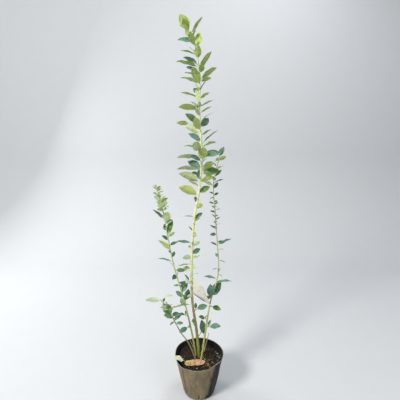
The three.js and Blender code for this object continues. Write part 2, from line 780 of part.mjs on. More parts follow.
// The tie passes behind the cane, comes down through the hole and holds the label at the hole's top
function makeTie() {
  const slack = LABEL.hole.radius - TIE.radius - 2 * GAP;
  const low = plus(labelPoint(LABEL.hole.across, LABEL.hole.along), [0, 0, slack]);
  const axis = canePoint("centre", TIE.backHeight);
  const away = unit([low[0] - axis[0], low[1] - axis[1], 0]);
  const high = plus(axis, away, -(caneRadius("centre", TIE.backHeight) + GAP + TIE.radius));
  const down = unit(plus(low, high, -1));
  const side = cross([0, 0, 1], away);
  const half = distance(low, high) / 2;
  const ring = new THREE.TorusGeometry(half, TIE.radius, 5, 22);
  const { position } = ring.attributes;
  for (let i = 0; i < position.count; i += 1) {
    const angle = Math.atan2(position.getY(i), position.getX(i));
    position.setY(i, position.getY(i) + (TIE.halfWidth - half) * Math.sin(angle));
  }
  ring.applyMatrix4(new THREE.Matrix4().makeBasis(
    new THREE.Vector3(...down),
    new THREE.Vector3(...side),
    new THREE.Vector3(...cross(down, side)),
  ));
  ring.translate(...blend(low, high, 0.5));
  return ring;
}

// A leaf that has dropped: its stalk end lies on the soil and its blade over the rim
const FALLEN = { bearing: 199, from: 47, length: 38, wide: 0.72, roll: 4, droop: 0 };

function makeFallenLeaf() {
  const angle = FALLEN.bearing * DEG;
  const low = soilHeight(angle, FALLEN.from) + GAP + PETIOLE;
  const high = POT_HEIGHT + rimRise(angle) + GAP + LEAF_THICK + POT_WALL;
  const rise = Math.atan2(high - low, potRadius(angle, POT_HEIGHT) - FALLEN.from) / DEG;
  const root = [FALLEN.from * Math.cos(angle), FALLEN.from * Math.sin(angle), low];
  return leafBody(makeLeaf(root, { ...FALLEN, rise }));
}

// Dry leafless stubs beside the canes
const STUB_TAPER = 0.7;
const STUBS = [
  { name: "dead_stub_1", cane: "right", height: 136, bearing: 6, rise: 76, length: 62, radius: 1.4 },
  { name: "dead_stub_2", cane: "left", height: 143, bearing: 215, rise: 68, length: 30, radius: 1.2 },
];

function makeStub(stub) {
  const start = besideCane(stub, stub.rise, stub.radius);
  const along = heading(stub.bearing, stub.rise);
  const tip = plus(start, along, stub.length);
  return loft([
    ringAt(start, along, stub.radius, STUB_SIDES),
    ringAt(tip, along, stub.radius * STUB_TAPER, STUB_SIDES),
  ]);
}

// Pieces

makePot();
addMesh("soil", turned(soilProfile, POT_SIDES), PEAT);
addMesh("bark_chip", makeChip(), BARK);
for (const cane of Object.keys(CANES)) {
  const foot = CANES[cane].bends[0][0];
  addMesh(`cane_${cane}`, caneLimb(cane, foot, BARE_TOP[cane], CANE_STEP, CANE_SIDES), CANE_BARK);
}
for (const shoot of SHOOTS) {
  const top = CANES[shoot.cane].bends[CANES[shoot.cane].bends.length - 1][0];
  const end = shoot.to >= top - 2 ? top : shoot.to;
  const stem = caneLimb(shoot.cane, shoot.from + GAP, end, STEM_STEP, STEM_SIDES);
  addMesh(shoot.name, fused([stem, ...growShoot(shoot).map(leafBody)]), shoot.young ? YOUNG_LEAF : LEAF);
}
for (const spur of SPURS) {
  const { start, tip } = spurStem(spur);
  const along = unit(plus(tip, start, -1));
  const stem = loft([
    ringAt(start, along, SPUR_RADIUS, SPUR_SIDES),
    ringAt(tip, along, SPUR_RADIUS * SPUR_TAPER, SPUR_SIDES),
  ]);
  addMesh(spur.name, fused([stem, ...growSpur(spur).map(leafBody)]), LEAF);
}
for (const stub of STUBS) addMesh(stub.name, makeStub(stub), DEAD_WOOD);
addMesh("fallen_leaf", makeFallenLeaf(), DRY_LEAF);
addMesh("label_tie", makeTie(), TWINE);
addMesh("label", makeLabel(), PAPER);

export default plant;
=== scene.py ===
"""A young potted blueberry: its looks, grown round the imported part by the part's own rule."""

import itertools
import math

import bmesh
import bpy
import numpy as np
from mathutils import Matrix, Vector


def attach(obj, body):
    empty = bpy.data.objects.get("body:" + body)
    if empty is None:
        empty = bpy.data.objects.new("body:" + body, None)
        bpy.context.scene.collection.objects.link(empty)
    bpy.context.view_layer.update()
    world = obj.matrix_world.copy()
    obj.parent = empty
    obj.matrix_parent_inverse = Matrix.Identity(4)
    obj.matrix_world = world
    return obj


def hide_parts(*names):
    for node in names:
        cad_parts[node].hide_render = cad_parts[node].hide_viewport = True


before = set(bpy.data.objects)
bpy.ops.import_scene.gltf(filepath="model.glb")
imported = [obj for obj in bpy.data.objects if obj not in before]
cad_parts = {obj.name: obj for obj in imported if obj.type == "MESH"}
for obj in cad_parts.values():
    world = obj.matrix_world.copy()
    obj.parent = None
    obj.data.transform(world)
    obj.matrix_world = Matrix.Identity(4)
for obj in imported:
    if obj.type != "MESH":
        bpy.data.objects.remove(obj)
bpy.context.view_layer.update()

MM = 0.001
DEG = math.pi / 180

# The pot and the soil, in millimetres, as in the part
POT_RIM_RADIUS = 75
POT_BASE_RADIUS = 49
POT_HEIGHT = 126
FILM = 0.45
SOIL_EDGE = 106
SOIL_TOP = 111
SOIL_PLATEAU = 24
GAP = 0.3
DENT_BEARING = 268
DENT_WIDTH = 7
DENT_HEIGHT = 26
DENT_DEPTH = 2.2

# The canes: radius at the foot and at the tip, and height, sideways and back at each bend
CANES = {
    "centre": (4.4, 1.5, (
        (SOIL_TOP + GAP, 0, 0), (205, -8, 3), (295, -20, 7), (395, -22, 10), (485, -19, 11), (565, -12, 11),
        (625, -1, 10), (725, 8, 7), (845, 2, 2), (950, 1, -4), (1010, -10, -8), (1055, -29, -10),
    )),
    "left": (3.0, 1.2, (
        (SOIL_TOP + GAP, -9, 8), (225, -28, 2), (315, -47, -4), (420, -73, -12),
        (515, -89, -18), (595, -101, -24), (660, -118, -28),
    )),
    "right": (3.1, 0.9, (
        (SOIL_TOP + GAP, 7, -10), (195, 20, 6), (283, 34, 20), (376, 59, 34), (465, 56, 47),
        (565, 49, 61), (645, 44, 73), (700, 55, 79), (749, 67, 86),
    )),
    "low": (2.5, 1.0, (
        (SOIL_TOP + GAP, -10, -9), (180, -33, -22), (215, -52, -31), (255, -67, -43),
        (305, -85, -57), (348, -107, -70),
    )),
}
TAPER = 1.15
FLARE = 0.25
FLARE_HEIGHT = 9
BARE_TOP = {"centre": 371, "left": 307, "right": 295, "low": 251}

# Leaf rules
LEAF_TURN = 137.5
ROOT_FROM_FOOT = 4
ROOT_FROM_TOP = 7
BEARING_JITTER = 24
RISE_JITTER = 18
SHARE_SPREAD = (0.2, 0.8)
LENGTH_SPREAD = (0.7, 1.2)
WIDE_SPREAD = (0.38, 0.5)
DROOP_SPREAD = (5, 35)
TOUCH_SHARE = 0.46
TOUCH_ROOM = 1.5
OWN_CANE_ROOM = 1
OTHER_CANE_ROOM = 2
BLADE_WIDEST = 27
LEAF_STEPS = 8
BLADE_PROBES = (0.07, 0.27, 0.47, 0.67, 0.87)
SPUR_LENGTH = 7
SPUR_RADIUS = 1.2
SPUR_TAPER = 0.6
SPUR_RISE = 20
SPUR_ROOT = 0.55
SPUR_FAN = (65, 105)
SPUR_FAN_RISE = (25, 65)
SPUR_FAN_LENGTH = (0.5, 0.8)
SPUR_FAN_ROLL = 50
SPUR_FAN_WIDE = (0.42, 0.52)


def own(height, *shape, **extra):
    """A leaf given one by one, because it stands out: its height, and its bearing, rise, length and roll."""
    return height, shape, extra


# Leafy tops: name, cane, from, to, leaves by rule, lengths at both ends, rise, roll, seed, own leaves
SHOOTS = (
    ("centre_shoot_1", "centre", 371, 505, 9, (27, 27), 14, 70, 182, (
        own(469, 330, 40, 36, -45, wide=0.4),
        own(433, 345, 28, 28, -55, wide=0.4),
        own(416, 188, -5, 42, 35, wide=0.42),
        own(481, 180, 7, 48, -10, wide=0.34),
    )),
    ("centre_shoot_2", "centre", 505, 640, 8, (30, 36), 20, 70, 2897, (
        own(545, 350, 34, 23, -45, wide=0.4),
        own(621, 188, 26, 62, 60, droop=20, wide=0.44),
    )),
    ("centre_shoot_3", "centre", 640, 780, 14, (46, 46), 22, 70, 3448, (
        own(659, 187, 26, 66, 60, droop=20, wide=0.42),
        own(690, 350, 37, 44, -45, wide=0.45),
        own(695, 180, 4, 69, 25, wide=0.36),
        own(720, 288, 64, 44, -15, wide=0.6),
        own(727, 185, 4, 69, 20, wide=0.36),
        own(756, 340, 28, 32, 35, wide=0.4),
        own(766, 10, 41, 60, 0, droop=0, wide=0.3),
        own(756, 170, 7, 53, -20, wide=0.4),
    )),
    ("centre_shoot_4", "centre", 780, 910, 16, (44, 44), 26, 70, 4004, (
        own(818, 185, 4, 64, 40, droop=0, stalk=0.5, wide=0.28),
        own(843, 240, 76, 65, 0, droop=-10, stalk=0.45, wide=0.27),
        own(838, 235, 48, 30, 20, wide=0.36),
        own(847, 350, 28, 37, -10, droop=0, wide=0.34),
        own(856, 190, 7, 58, 30, droop=25, wide=0.4),
        own(863, 10, 28, 42, -20, droop=0, wide=0.34),
        own(860, 270, 50, 22, 0, droop=0, wide=0.4),
        own(885, 185, 17, 53, 5, wide=0.34),
        own(902, 340, 56, 32, 40, wide=0.34),
        own(902, 200, 55, 24, 0, droop=0, wide=0.4),
    )),
    ("centre_shoot_5", "centre", 910, 1000, 8, (44, 42), 30, 70, 78, (
        own(919, 173, 21, 56, -30, droop=20, wide=0.42),
        own(932, 10, 35, 55, -20, droop=0, wide=0.42),
        own(944, 173, 30, 41, -45, droop=20),
        own(954, 335, 52, 54, -10, droop=0, wide=0.42),
        own(961, 195, 12, 61, 5, wide=0.36),
        own(979, 278, 70, 34, 0, droop=0, wide=0.54),
        own(990, 175, 18, 44, 5, wide=0.3),
    )),
    ("centre_tip", "centre", 1000, 1054, 6, (38, 30), 42, 70, 644, (
        own(1006, 335, 73, 38, -95, droop=5, wide=0.7),
        own(1018, 174, 13, 44, -45, droop=30, wide=0.45),
        own(1031, 165, 50, 26, 112, wide=0.66),
        own(1038, 4, 55, 51, -15, droop=-10, wide=0.34),
        own(1020, 13, 59, 51, 20, droop=-5, wide=0.32),
        own(1004, 10, 62, 34, 10, droop=0, wide=0.36),
        own(1046, 178, 60, 44, 95, droop=5, wide=0.62),
    )),
    ("left_shoot_1", "left", 307, 455, 11, (26, 25), 16, 70, 138, (
        own(331, 30, 55, 34, 40, wide=0.45),
        own(432, 170, 11, 47, 10, wide=0.4),
    )),
    ("left_shoot_2", "left", 455, 577, 8, (28, 26), 26, 70, 2032, (
        own(550, 309, 68, 39, -30, droop=0, wide=0.57),
        own(515, 17, 70, 44, 35, droop=0, wide=0.46),
        own(466, 187, 46, 48, 50),
        own(565, 173, 35, 40, 0, droop=0, wide=0.42),
    )),
    ("left_tip", "left", 577, 659, 30, (30, 14), 34, 60, 384, ()),
    ("right_shoot_1", "right", 295, 405, 9, (25, 24), 14, 70, 899, (
        own(299, 190, 86, 46, -95, droop=0, wide=0.54),
        own(302, 30, 56, 58, 65, droop=0, wide=0.46),
        own(346, 0, 7, 50, -5, droop=20, wide=0.46),
        own(358, 175, 9, 43, 0, droop=15, wide=0.46),
    )),
    ("right_shoot_2", "right", 405, 505, 8, (22, 20), 14, 70, 1551, (
        own(462, 0, 27, 48, 5, wide=0.46),
    )),
    ("right_shoot_3", "right", 505, 627, 20, (17, 16), 20, 60, 1926, (
        own(511, 175, 32, 24, -20),
    )),
    ("right_tip", "right", 627, 748, 16, (32, 26), 34, 70, 53, (
        own(729, 13, 66, 34, 50, droop=0, wide=0.52),
        own(717, 352, 31, 27, -60, wide=0.48),
        own(673, 5, 50, 42, 0, stalk=0.75, wide=0.2),
        own(695, 350, 60, 34, 0, stalk=0.75, wide=0.2),
    )),
    ("low_shoot", "low", 251, 347, 21, (24, 22), 18, 70, 163, (
        own(341, 190, 10, 45, 70, wide=0.46),
        own(285, 160, 51, 43, -35, wide=0.6),
        own(340, 340, 34, 44, 0, droop=60, wide=0.3),
        own(311, 10, 9, 64, -15, stalk=0.45, wide=0.22),
    )),
)

# Short leafy spurs: name, cane, height, bearing, rise, length and roll of the first leaf, more, seed
SPURS = (
    ("left_spur_1", "left", 213, 200, -20, 32, -25, 1, 1),
    ("left_spur_2", "left", 252, 170, 10, 24, 0, 2, 2),
    ("left_spur_3", "left", 288, 195, -5, 34, 50, 2, 3),
    ("left_spur_4", "left", 297, 60, 60, 36, 40, 1, 4),
    ("centre_spur_1", "centre", 183, 10, 55, 16, 0, 0, 5),
    ("centre_spur_2", "centre", 219, 165, 60, 28, -40, 2, 6),
    ("centre_spur_3", "centre", 267, 20, 10, 38, 30, 1, 7),
    ("centre_spur_4", "centre", 311, 195, 10, 22, 45, 2, 8),
    ("centre_spur_5", "centre", 357, 172, 55, 26, 0, 0, 13),
    ("right_spur_1", "right", 177, 110, 62, 46, 0, 1, 9),
    ("right_spur_2", "right", 210, 345, 12, 40, 20, 2, 10),
    ("right_spur_3", "right", 235, 205, 30, 26, -40, 1, 11),
    ("right_spur_4", "right", 273, 335, -5, 32, 30, 2, 12),
)

# Dry stubs: name, cane, height, bearing, rise, length, radius
STUBS = (
    ("dead_stub_1", "right", 136, 6, 76, 62, 1.4),
    ("dead_stub_2", "left", 143, 215, 68, 30, 1.2),
)
STUB_TAPER = 0.7


# Vectors and repeatable random numbers

def unit(a):
    return a / np.linalg.norm(a)


def mix(a, b, t):
    return a + (b - a) * t


def heading(bearing, rise):
    b, e = bearing * DEG, rise * DEG
    return np.array((math.cos(e) * math.cos(b), math.cos(e) * math.sin(b), math.sin(e)))


def xyz(x, y, z):
    """Points from their coordinates, which may be arrays."""
    return np.stack(np.broadcast_arrays(x, y, z), -1)


def round_turn(sides):
    return np.arange(sides) * 2 * np.pi / sides


def degrees_apart(angle, bearing):
    return (np.degrees(angle) - bearing + 180) % 360 - 180


def bell(apart, width):
    """1 in the middle, and almost 0 at twice the width."""
    return np.exp(-(apart / width) ** 2)


def along_line(line, shares):
    """Places at shares of the way along a line of evenly spaced points."""
    line = np.asarray(line, float)
    knots = np.linspace(0, 1, len(line))
    return np.stack([np.interp(shares, knots, line[:, k]) for k in range(3)], -1)


class Draw:
    """Repeatable random numbers from 0 to 1."""

    def __init__(self, seed):
        self.state = (seed * 7919 + 104729) % 2147483647

    def __call__(self):
        self.state = (self.state * 16807) % 2147483647
        return self.state / 2147483647

    def swing(self):
        return 2 * self() - 1

    def within(self, spread):
        return mix(*spread, self())


def smooth_noise(points, cell, seed):
    """Smooth noise from -1 to 1 at each point, with lumps about one cell across."""
    p = np.asarray(points, float) / cell
    base = np.floor(p).astype(np.int64)
    f = p - base
    f = f * f * (3 - 2 * f)
    total = 0
    for corner in itertools.product((0, 1), repeat=3):
        i, j, k = np.moveaxis(base + corner, -1, 0)
        h = i * 374761393 + j * 668265263 + k * 1274126177 + seed * 69069
        h = (h ^ (h >> 13)) * 1103515245
        h = (h ^ (h >> 16)) & 0x7FFFFFFF
        total = total + np.abs(1 - np.array(corner) - f).prod(-1) * (h / 0x3FFFFFFF - 1)
    return total


# Canes

def bend_at(bends, height, axis):
    """One coordinate of a cane at a height, smooth through its bends."""
    last = len(bends) - 1
    i = 0
    while i < last - 1 and height > bends[i + 1][0]:
        i += 1

    def slope(j):
        before, after = bends[max(j - 1, 0)], bends[min(j + 1, last)]
        return (after[axis] - before[axis]) / (after[0] - before[0])

    a, b = bends[i], bends[i + 1]
    rise = b[0] - a[0]
    t = (height - a[0]) / rise
    return (
        (2 * t ** 3 - 3 * t ** 2 + 1) * a[axis]
        + (t ** 3 - 2 * t ** 2 + t) * slope(i) * rise
        + (3 * t ** 2 - 2 * t ** 3) * b[axis]
        + (t ** 3 - t ** 2) * slope(i + 1) * rise
    )


def cane_point(cane, height):
    bends = CANES[cane][2]
    return np.array((bend_at(bends, height, 1), bend_at(bends, height, 2), height))


def cane_radius(cane, height):
    foot, tip, bends = CANES[cane]
    bottom, top = bends[0][0], bends[-1][0]
    t = min(max((height - bottom) / (top - bottom), 0), 1)
    flare = 1 + FLARE * math.exp(-(height - bottom) / FLARE_HEIGHT)
    return (tip + (foot - tip) * (1 - t) ** TAPER) * flare


def beside_cane(cane, height, bearing, rise, radius):
    """Where a side twig starts, so that the low edge of its cut end stands just off its cane."""
    out = cane_radius(cane, height) + GAP + radius * math.sin(rise * DEG)
    return cane_point(cane, height) + heading(bearing, 0) * out


# Leaf growth

def blade_width(u):
    return np.maximum(0, np.sin(np.pi * np.asarray(u, float) ** 0.9)) ** 0.8


class Leaf:
    """A leaf's midrib curve, its frame along that curve and its width."""

    def __init__(self, root, bearing, rise, length, roll, droop=10, stalk=0.12, wide=0.48):
        self.root = np.asarray(root, float)
        self.bearing, self.rise, self.length = bearing, rise, length
        self.roll, self.droop, self.stalk = roll, droop, stalk
        self.width = min(wide * length, BLADE_WIDEST)
        line = self.curve(LEAF_STEPS)
        shares = [stalk + (1 - stalk) * u for u in BLADE_PROBES]
        self.mids = along_line(line, shares)
        self.halves = self.width / 2 * blade_width(BLADE_PROBES)
        sides = np.array([self.frame(s)[0] for s in shares]) * self.halves[:, None]
        self.edges = np.stack([self.mids, self.mids + sides, self.mids - sides], 1)

    def curve(self, steps):
        """The midrib in a number of straight steps. The part's has few."""
        rises = self.rise + self.droop * (0.5 - (np.arange(steps) + 0.5) / steps)
        ways = np.array([heading(self.bearing, rise) for rise in rises]) * self.length / steps
        return np.concatenate([[self.root], self.root + np.cumsum(ways, 0)])

    def frame(self, share):
        """The directions to the blade's side and out of its upper face."""
        rise = self.rise + self.droop * (0.5 - share)
        along = heading(self.bearing, rise)
        up = heading(self.bearing, rise + 90)
        face = up * math.cos(self.roll * DEG) + np.cross(along, up) * math.sin(self.roll * DEG)
        return np.cross(along, face), face


def leaves_touch(a, b):
    gaps = np.linalg.norm(a.mids[:, None] - b.mids[None], axis=2)
    return bool((gaps < TOUCH_SHARE * (a.halves[:, None] + b.halves[None]) + TOUCH_ROOM).any())


def clear_of_canes(leaf, own_cane):
    for i, edge in enumerate(leaf.edges):
        for cane, (_, _, bends) in CANES.items():
            if cane == own_cane and i == 0:
                continue
            room = OWN_CANE_ROOM if cane == own_cane else OTHER_CANE_ROOM
            for at in edge:
                height = min(max(at[2], bends[0][0]), bends[-1][0])
                gap = np.linalg.norm(at - cane_point(cane, height))
                if gap < cane_radius(cane, height) + room:
                    return False
    return True


grown_leaves = []


def keep_clear(leaves, own_cane):
    kept = []
    for leaf in leaves:
        if clear_of_canes(leaf, own_cane) and not any(leaves_touch(leaf, other) for other in grown_leaves):
            grown_leaves.append(leaf)
            kept.append(leaf)
    return kept


def grow_shoot(cane, low, high, count, lengths, mean_rise, most_roll, seed, own_leaves):
    draw = Draw(seed)
    leaves = [Leaf(cane_point(cane, height), *shape, **extra) for height, shape, extra in own_leaves]
    phase = draw() * 360
    for k in range(count):
        share = (k + draw.within(SHARE_SPREAD)) / count
        height = mix(low + ROOT_FROM_FOOT, high - ROOT_FROM_TOP, share)
        bearing = phase + k * LEAF_TURN + draw.swing() * BEARING_JITTER
        rise = mean_rise + draw.swing() * RISE_JITTER
        length = mix(*lengths, share) * draw.within(LENGTH_SPREAD)
        wide = draw.within(WIDE_SPREAD)
        roll = draw.swing() * most_roll
        droop = draw.within(DROOP_SPREAD)
        leaves.append(Leaf(cane_point(cane, height), bearing, rise, length, roll, droop, wide=wide))
    return keep_clear(leaves, cane)


def spur_line(cane, height, bearing, rise):
    rise = max(rise, SPUR_RISE)
    return beside_cane(cane, height, bearing, rise, SPUR_RADIUS), heading(bearing, rise)


def grow_spur(cane, height, bearing, rise, length, roll, more, seed):
    draw = Draw(seed)
    start, along = spur_line(cane, height, bearing, rise)
    middle = start + along * SPUR_LENGTH * SPUR_ROOT
    leaves = [Leaf(middle, bearing, rise, length, roll, wide=0.5)]
    for k in range(more):
        fan_bearing = bearing + (-1) ** k * draw.within(SPUR_FAN)
        fan_rise = draw.within(SPUR_FAN_RISE)
        fan_length = length * draw.within(SPUR_FAN_LENGTH)
        fan_roll = draw.swing() * SPUR_FAN_ROLL
        wide = draw.within(SPUR_FAN_WIDE)
        leaves.append(Leaf(middle, fan_bearing, fan_rise, fan_length, fan_roll, wide=wide))
    return keep_clear(leaves, cane)


# Meshes

def placed(name, data):
    """A new object in the scene."""
    thing = bpy.data.objects.new(name, data)
    bpy.context.scene.collection.objects.link(thing)
    return thing


def grid_quads(rows, columns, closed=False):
    """Faces over a grid of points, row by row, that may close round on itself."""
    span = columns if closed else columns - 1
    j, i = np.meshgrid(np.arange(rows - 1), np.arange(span), indexing="ij")
    a = j * columns + i
    b = j * columns + (i + 1) % columns
    return np.stack([a, b, b + columns, a + columns], -1).reshape(-1, 4)


def end_faces(rings, sides):
    start = np.arange(sides)
    return np.stack([start[::-1], start + (rings - 1) * sides])


class Heap:
    """Small bodies gathered into one mesh. Points are in millimetres."""

    def __init__(self, *bodies):
        self.points = []
        self.faces = []
        self.kinds = []
        self.size = 0
        for body in bodies:
            self.add(*body)

    def add(self, points, *parts):
        """Each part is an array of faces with equally many corners, and their material's number."""
        self.points.append(np.asarray(points, float))
        for faces, kind in parts:
            self.faces.extend((np.asarray(faces) + self.size).tolist())
            self.kinds.extend([kind] * len(faces))
        self.size += len(points)

    def mesh(self, name):
        mesh = bpy.data.meshes.new(name)
        mesh.from_pydata((np.concatenate(self.points) * MM).tolist(), [], self.faces)
        return mesh

    def piece(self, name, materials, slot, nodes=(), sharp=60):
        """The piece that rides on the part's only body, and the solids it stands for."""
        mesh = self.mesh(name)
        for material in materials:
            mesh.materials.append(material)
        mesh.polygons.foreach_set("material_index", self.kinds)
        mesh.polygons.foreach_set("use_smooth", [True] * len(self.faces))
        mesh.set_sharp_from_angle(angle=sharp * DEG)
        mesh.update()
        piece = placed(name, mesh)
        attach(piece, "root")
        if nodes:
            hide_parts(*nodes)
        return piece


def tube(line, radii, sides, kind=0):
    """A round body along a line of points, closed at both ends."""
    line = np.asarray(line, float)
    along = np.gradient(line, axis=0)
    along /= np.linalg.norm(along, axis=1)[:, None]
    side = np.cross(along[0], (0, 0, 1) if abs(along[0][2]) < 0.9 else (1, 0, 0))
    turn = round_turn(sides)[:, None]
    rings = []
    for at, way, radius in zip(line, along, np.broadcast_to(radii, len(line))):
        side = unit(side - way * (side @ way))
        rings.append(at + radius * (np.cos(turn) * side + np.sin(turn) * np.cross(way, side)))
    quads = grid_quads(len(line), sides, True)
    return np.concatenate(rings), (quads, kind), (end_faces(len(line), sides), kind)


def turned(rows):
    """A closed skin round the pot's axis, with a pole at both ends.

    Each row has its radius and height by angle, and the material number of the band before it.
    """
    sides = len(rows[1][0])
    angle = round_turn(sides)
    rings = [xyz(radius * np.cos(angle), radius * np.sin(angle), height) for radius, height, _ in rows[1:-1]]
    i = np.arange(sides)
    after = (i + 1) % sides
    last = 1 + (len(rings) - 1) * sides
    quads = grid_quads(len(rings), sides, True).reshape(-1, sides, 4) + 1
    parts = [(np.stack([0 * i, after + 1, i + 1], -1), rows[1][2])]
    parts += [(band, row[2]) for band, row in zip(quads, rows[2:])]
    parts.append((np.stack([i + last, after + last, 0 * i + last + sides], -1), rows[-1][2]))
    return np.concatenate([[(0, 0, rows[0][1])], *rings, [(0, 0, rows[-1][1])]]), *parts


def slab(top, bottom, kind_top=0, kind_bottom=0, kind_rim=0):
    """A thin body between two grids of points of rows by columns."""
    rows, columns, _ = top.shape
    count = rows * columns
    quads = grid_quads(rows, columns)
    number = np.arange(count).reshape(rows, columns)
    border = np.concatenate([number[0, :-1], number[:-1, -1], number[-1, :0:-1], number[:0:-1, 0]])
    after = np.roll(border, -1)
    rim = np.stack([border, border + count, after + count, after], -1)
    points = np.concatenate([top.reshape(-1, 3), bottom.reshape(-1, 3)])
    return points, (quads, kind_top), (quads[:, ::-1] + count, kind_bottom), (rim, kind_rim)


def cut_holes(piece, drills):
    """Cuts round holes and leaves no trace of the drill."""
    drill = placed("drill", drills.mesh("drill"))
    cut = piece.modifiers.new("holes", "BOOLEAN")
    cut.operation = "DIFFERENCE"
    cut.object = drill
    with bpy.context.temp_override(object=piece, active_object=piece):
        bpy.ops.object.modifier_apply(modifier=cut.name)
    bpy.data.meshes.remove(drill.data)


# Materials

def srgb(color):
    """A colour from its screen values, 0 to 255."""
    shares = (c / 255 for c in color)
    return (*(c / 12.92 if c <= 0.04045 else ((c + 0.055) / 1.055) ** 2.4 for c in shares), 1)


class Finish:
    """A Principled material and the nodes that give it its colour and grain.

    Sizes of noise and depths of relief are in millimetres, places in metres.
    """

    def __init__(self, name, roughness, specular=0.5):
        self.material = bpy.data.materials.new(name)
        self.material.use_nodes = True
        self.tree = self.material.node_tree
        self.shader = self.tree.nodes["Principled BSDF"]
        self.shader.inputs["Roughness"].default_value = roughness
        self.shader.inputs["Specular IOR Level"].default_value = specular

    def add(self, kind, inputs, **settings):
        """A node. An input that is another node's output becomes a link."""
        node = self.tree.nodes.new(kind)
        for key, value in settings.items():
            setattr(node, key, value)
        for key, value in inputs.items():
            if isinstance(value, bpy.types.NodeSocket):
                self.tree.links.new(value, node.inputs[key])
            else:
                node.inputs[key].default_value = value
        return node

    def place(self, stretch=(1, 1, 1)):
        place = self.add("ShaderNodeTexCoord", {}).outputs["Object"]
        return self.add("ShaderNodeMapping", {"Vector": place, "Scale": stretch}).outputs["Vector"]

    def axis(self, name):
        return self.add("ShaderNodeSeparateXYZ", {"Vector": self.place()}).outputs[name]

    def noise(self, size, detail=3, stretch=(1, 1, 1), roughness=0.55):
        settings = {
            "Vector": self.place(stretch), "Scale": 1 / (size * MM), "Detail": detail, "Roughness": roughness,
        }
        return self.add("ShaderNodeTexNoise", settings).outputs["Fac"]

    def math(self, operation, *values):
        return self.add("ShaderNodeMath", dict(enumerate(values)), operation=operation).outputs["Value"]

    def times(self, *values):
        return self.math("MULTIPLY", *values)

    def mask(self, factor, low, high, between="SMOOTHSTEP"):
        """0 at the low value, 1 at the high one, which may be the lesser."""
        settings = {"Value": factor, "From Min": low, "From Max": high}
        return self.add("ShaderNodeMapRange", settings, interpolation_type=between).outputs["Result"]

    def patches(self, size, detail, low, high, stretch=(1, 1, 1)):
        return self.mask(self.noise(size, detail, stretch), low, high)

    def wander(self, place, noise, reach):
        """A place moved to and fro by noise."""
        return self.math("ADD", place, self.math("MULTIPLY_ADD", noise, reach, -reach / 2))

    def line(self, place, centre, half, soft):
        """1 near the centre and 0 beyond the half width."""
        apart = self.math("ABSOLUTE", self.math("SUBTRACT", place, centre))
        return self.mask(apart, half, soft * half)

    def mix(self, factor, *colors):
        first, second = (c if isinstance(c, bpy.types.NodeSocket) else srgb(c) for c in colors)
        return self.add("ShaderNodeMix", {0: factor, 6: first, 7: second}, data_type="RGBA").outputs[2]

    def ramp(self, factor, stops):
        """Colours at places from 0 to 1 along the factor."""
        node = self.add("ShaderNodeValToRGB", {"Fac": factor})
        elements = node.color_ramp.elements
        elements.remove(elements[1])
        elements[0].position, elements[0].color = stops[0]
        for position, color in stops[1:]:
            elements.new(position).color = color
        return node.outputs["Color"]

    def made(self, color, *relief, rough=None):
        """The material, with its colour and layers of relief, each of height and depth."""
        self.tree.links.new(color, self.shader.inputs["Base Color"])
        if rough:
            self.tree.links.new(rough, self.shader.inputs["Roughness"])
        normal = None
        for height, depth in relief:
            inputs = {"Height": height, "Distance": depth * MM, "Strength": 1.0}
            if normal:
                inputs["Normal"] = normal
            normal = self.add("ShaderNodeBump", inputs).outputs["Normal"]
        if normal:
            self.tree.links.new(normal, self.shader.inputs["Normal"])
        return self.material


def mottled(name, roughness, noise, between, first, second, relief, specular=0.5):
    """Skin of two tones in soft patches.

    It has its noise's settings, the values that the patches fade between, and its relief's noise and depth.
    """
    finish = Finish(name, roughness, specular)
    patches = finish.noise(*noise)
    if between:
        patches = finish.mask(patches, *between)
    layers = [(finish.noise(*grain), depth) for *grain, depth in relief]
    return finish.made(finish.mix(patches, first, second), *layers)


def leaf_finish(name, roughness, light, dark):
    """Leaf skin: two near tones in soft patches, and a fine net of veins."""
    finish = Finish(name, roughness, 0.35)
    net = finish.add("ShaderNodeTexVoronoi", {"Vector": finish.place(), "Scale": 1 / (1.1 * MM)},
                     feature="DISTANCE_TO_EDGE").outputs["Distance"]
    color = finish.mix(finish.patches(7, 4, 0.35, 0.65), dark, light)
    return finish.made(color, (net, 0.12), (finish.noise(2.2, 2), 0.2))


TOP_TEAL = leaf_finish("leaf_top_teal", 0.42, (96, 128, 106), (74, 106, 86))
TOP_DEEP = leaf_finish("leaf_top_deep", 0.4, (72, 104, 82), (52, 84, 64))
TOP_GREEN = leaf_finish("leaf_top_green", 0.44, (98, 130, 72), (74, 106, 50))
UNDER_PALE = leaf_finish("leaf_under_pale", 0.58, (182, 192, 118), (156, 170, 90))
UNDER_GREY = leaf_finish("leaf_under_grey", 0.58, (190, 200, 150), (162, 176, 122))
TIP_TOP = leaf_finish("tip_leaf_top", 0.42, (128, 152, 84), (86, 118, 66))
TIP_UNDER = leaf_finish("tip_leaf_under", 0.55, (172, 186, 106), (134, 158, 78))
YOUNG_TOP = leaf_finish("young_leaf_top", 0.46, (168, 186, 146), (134, 156, 110))
YOUNG_UNDER = leaf_finish("young_leaf_under", 0.55, (214, 224, 192), (190, 206, 162))
VEIN = mottled("leaf_vein", 0.5, (5,), None, (160, 178, 112), (182, 194, 138), ((0.8, 0.08),))
BUD = mottled("bud_scales", 0.5, (1.5,), None, (150, 110, 80), (176, 178, 120), ((0.5, 0.1),))

# The kinds of a leaf's upper face, lower face and veins among a spray's materials
TOP_KINDS = (0, 1, 2)
UNDER_KINDS = (3, 4)
VEIN_KIND = 5
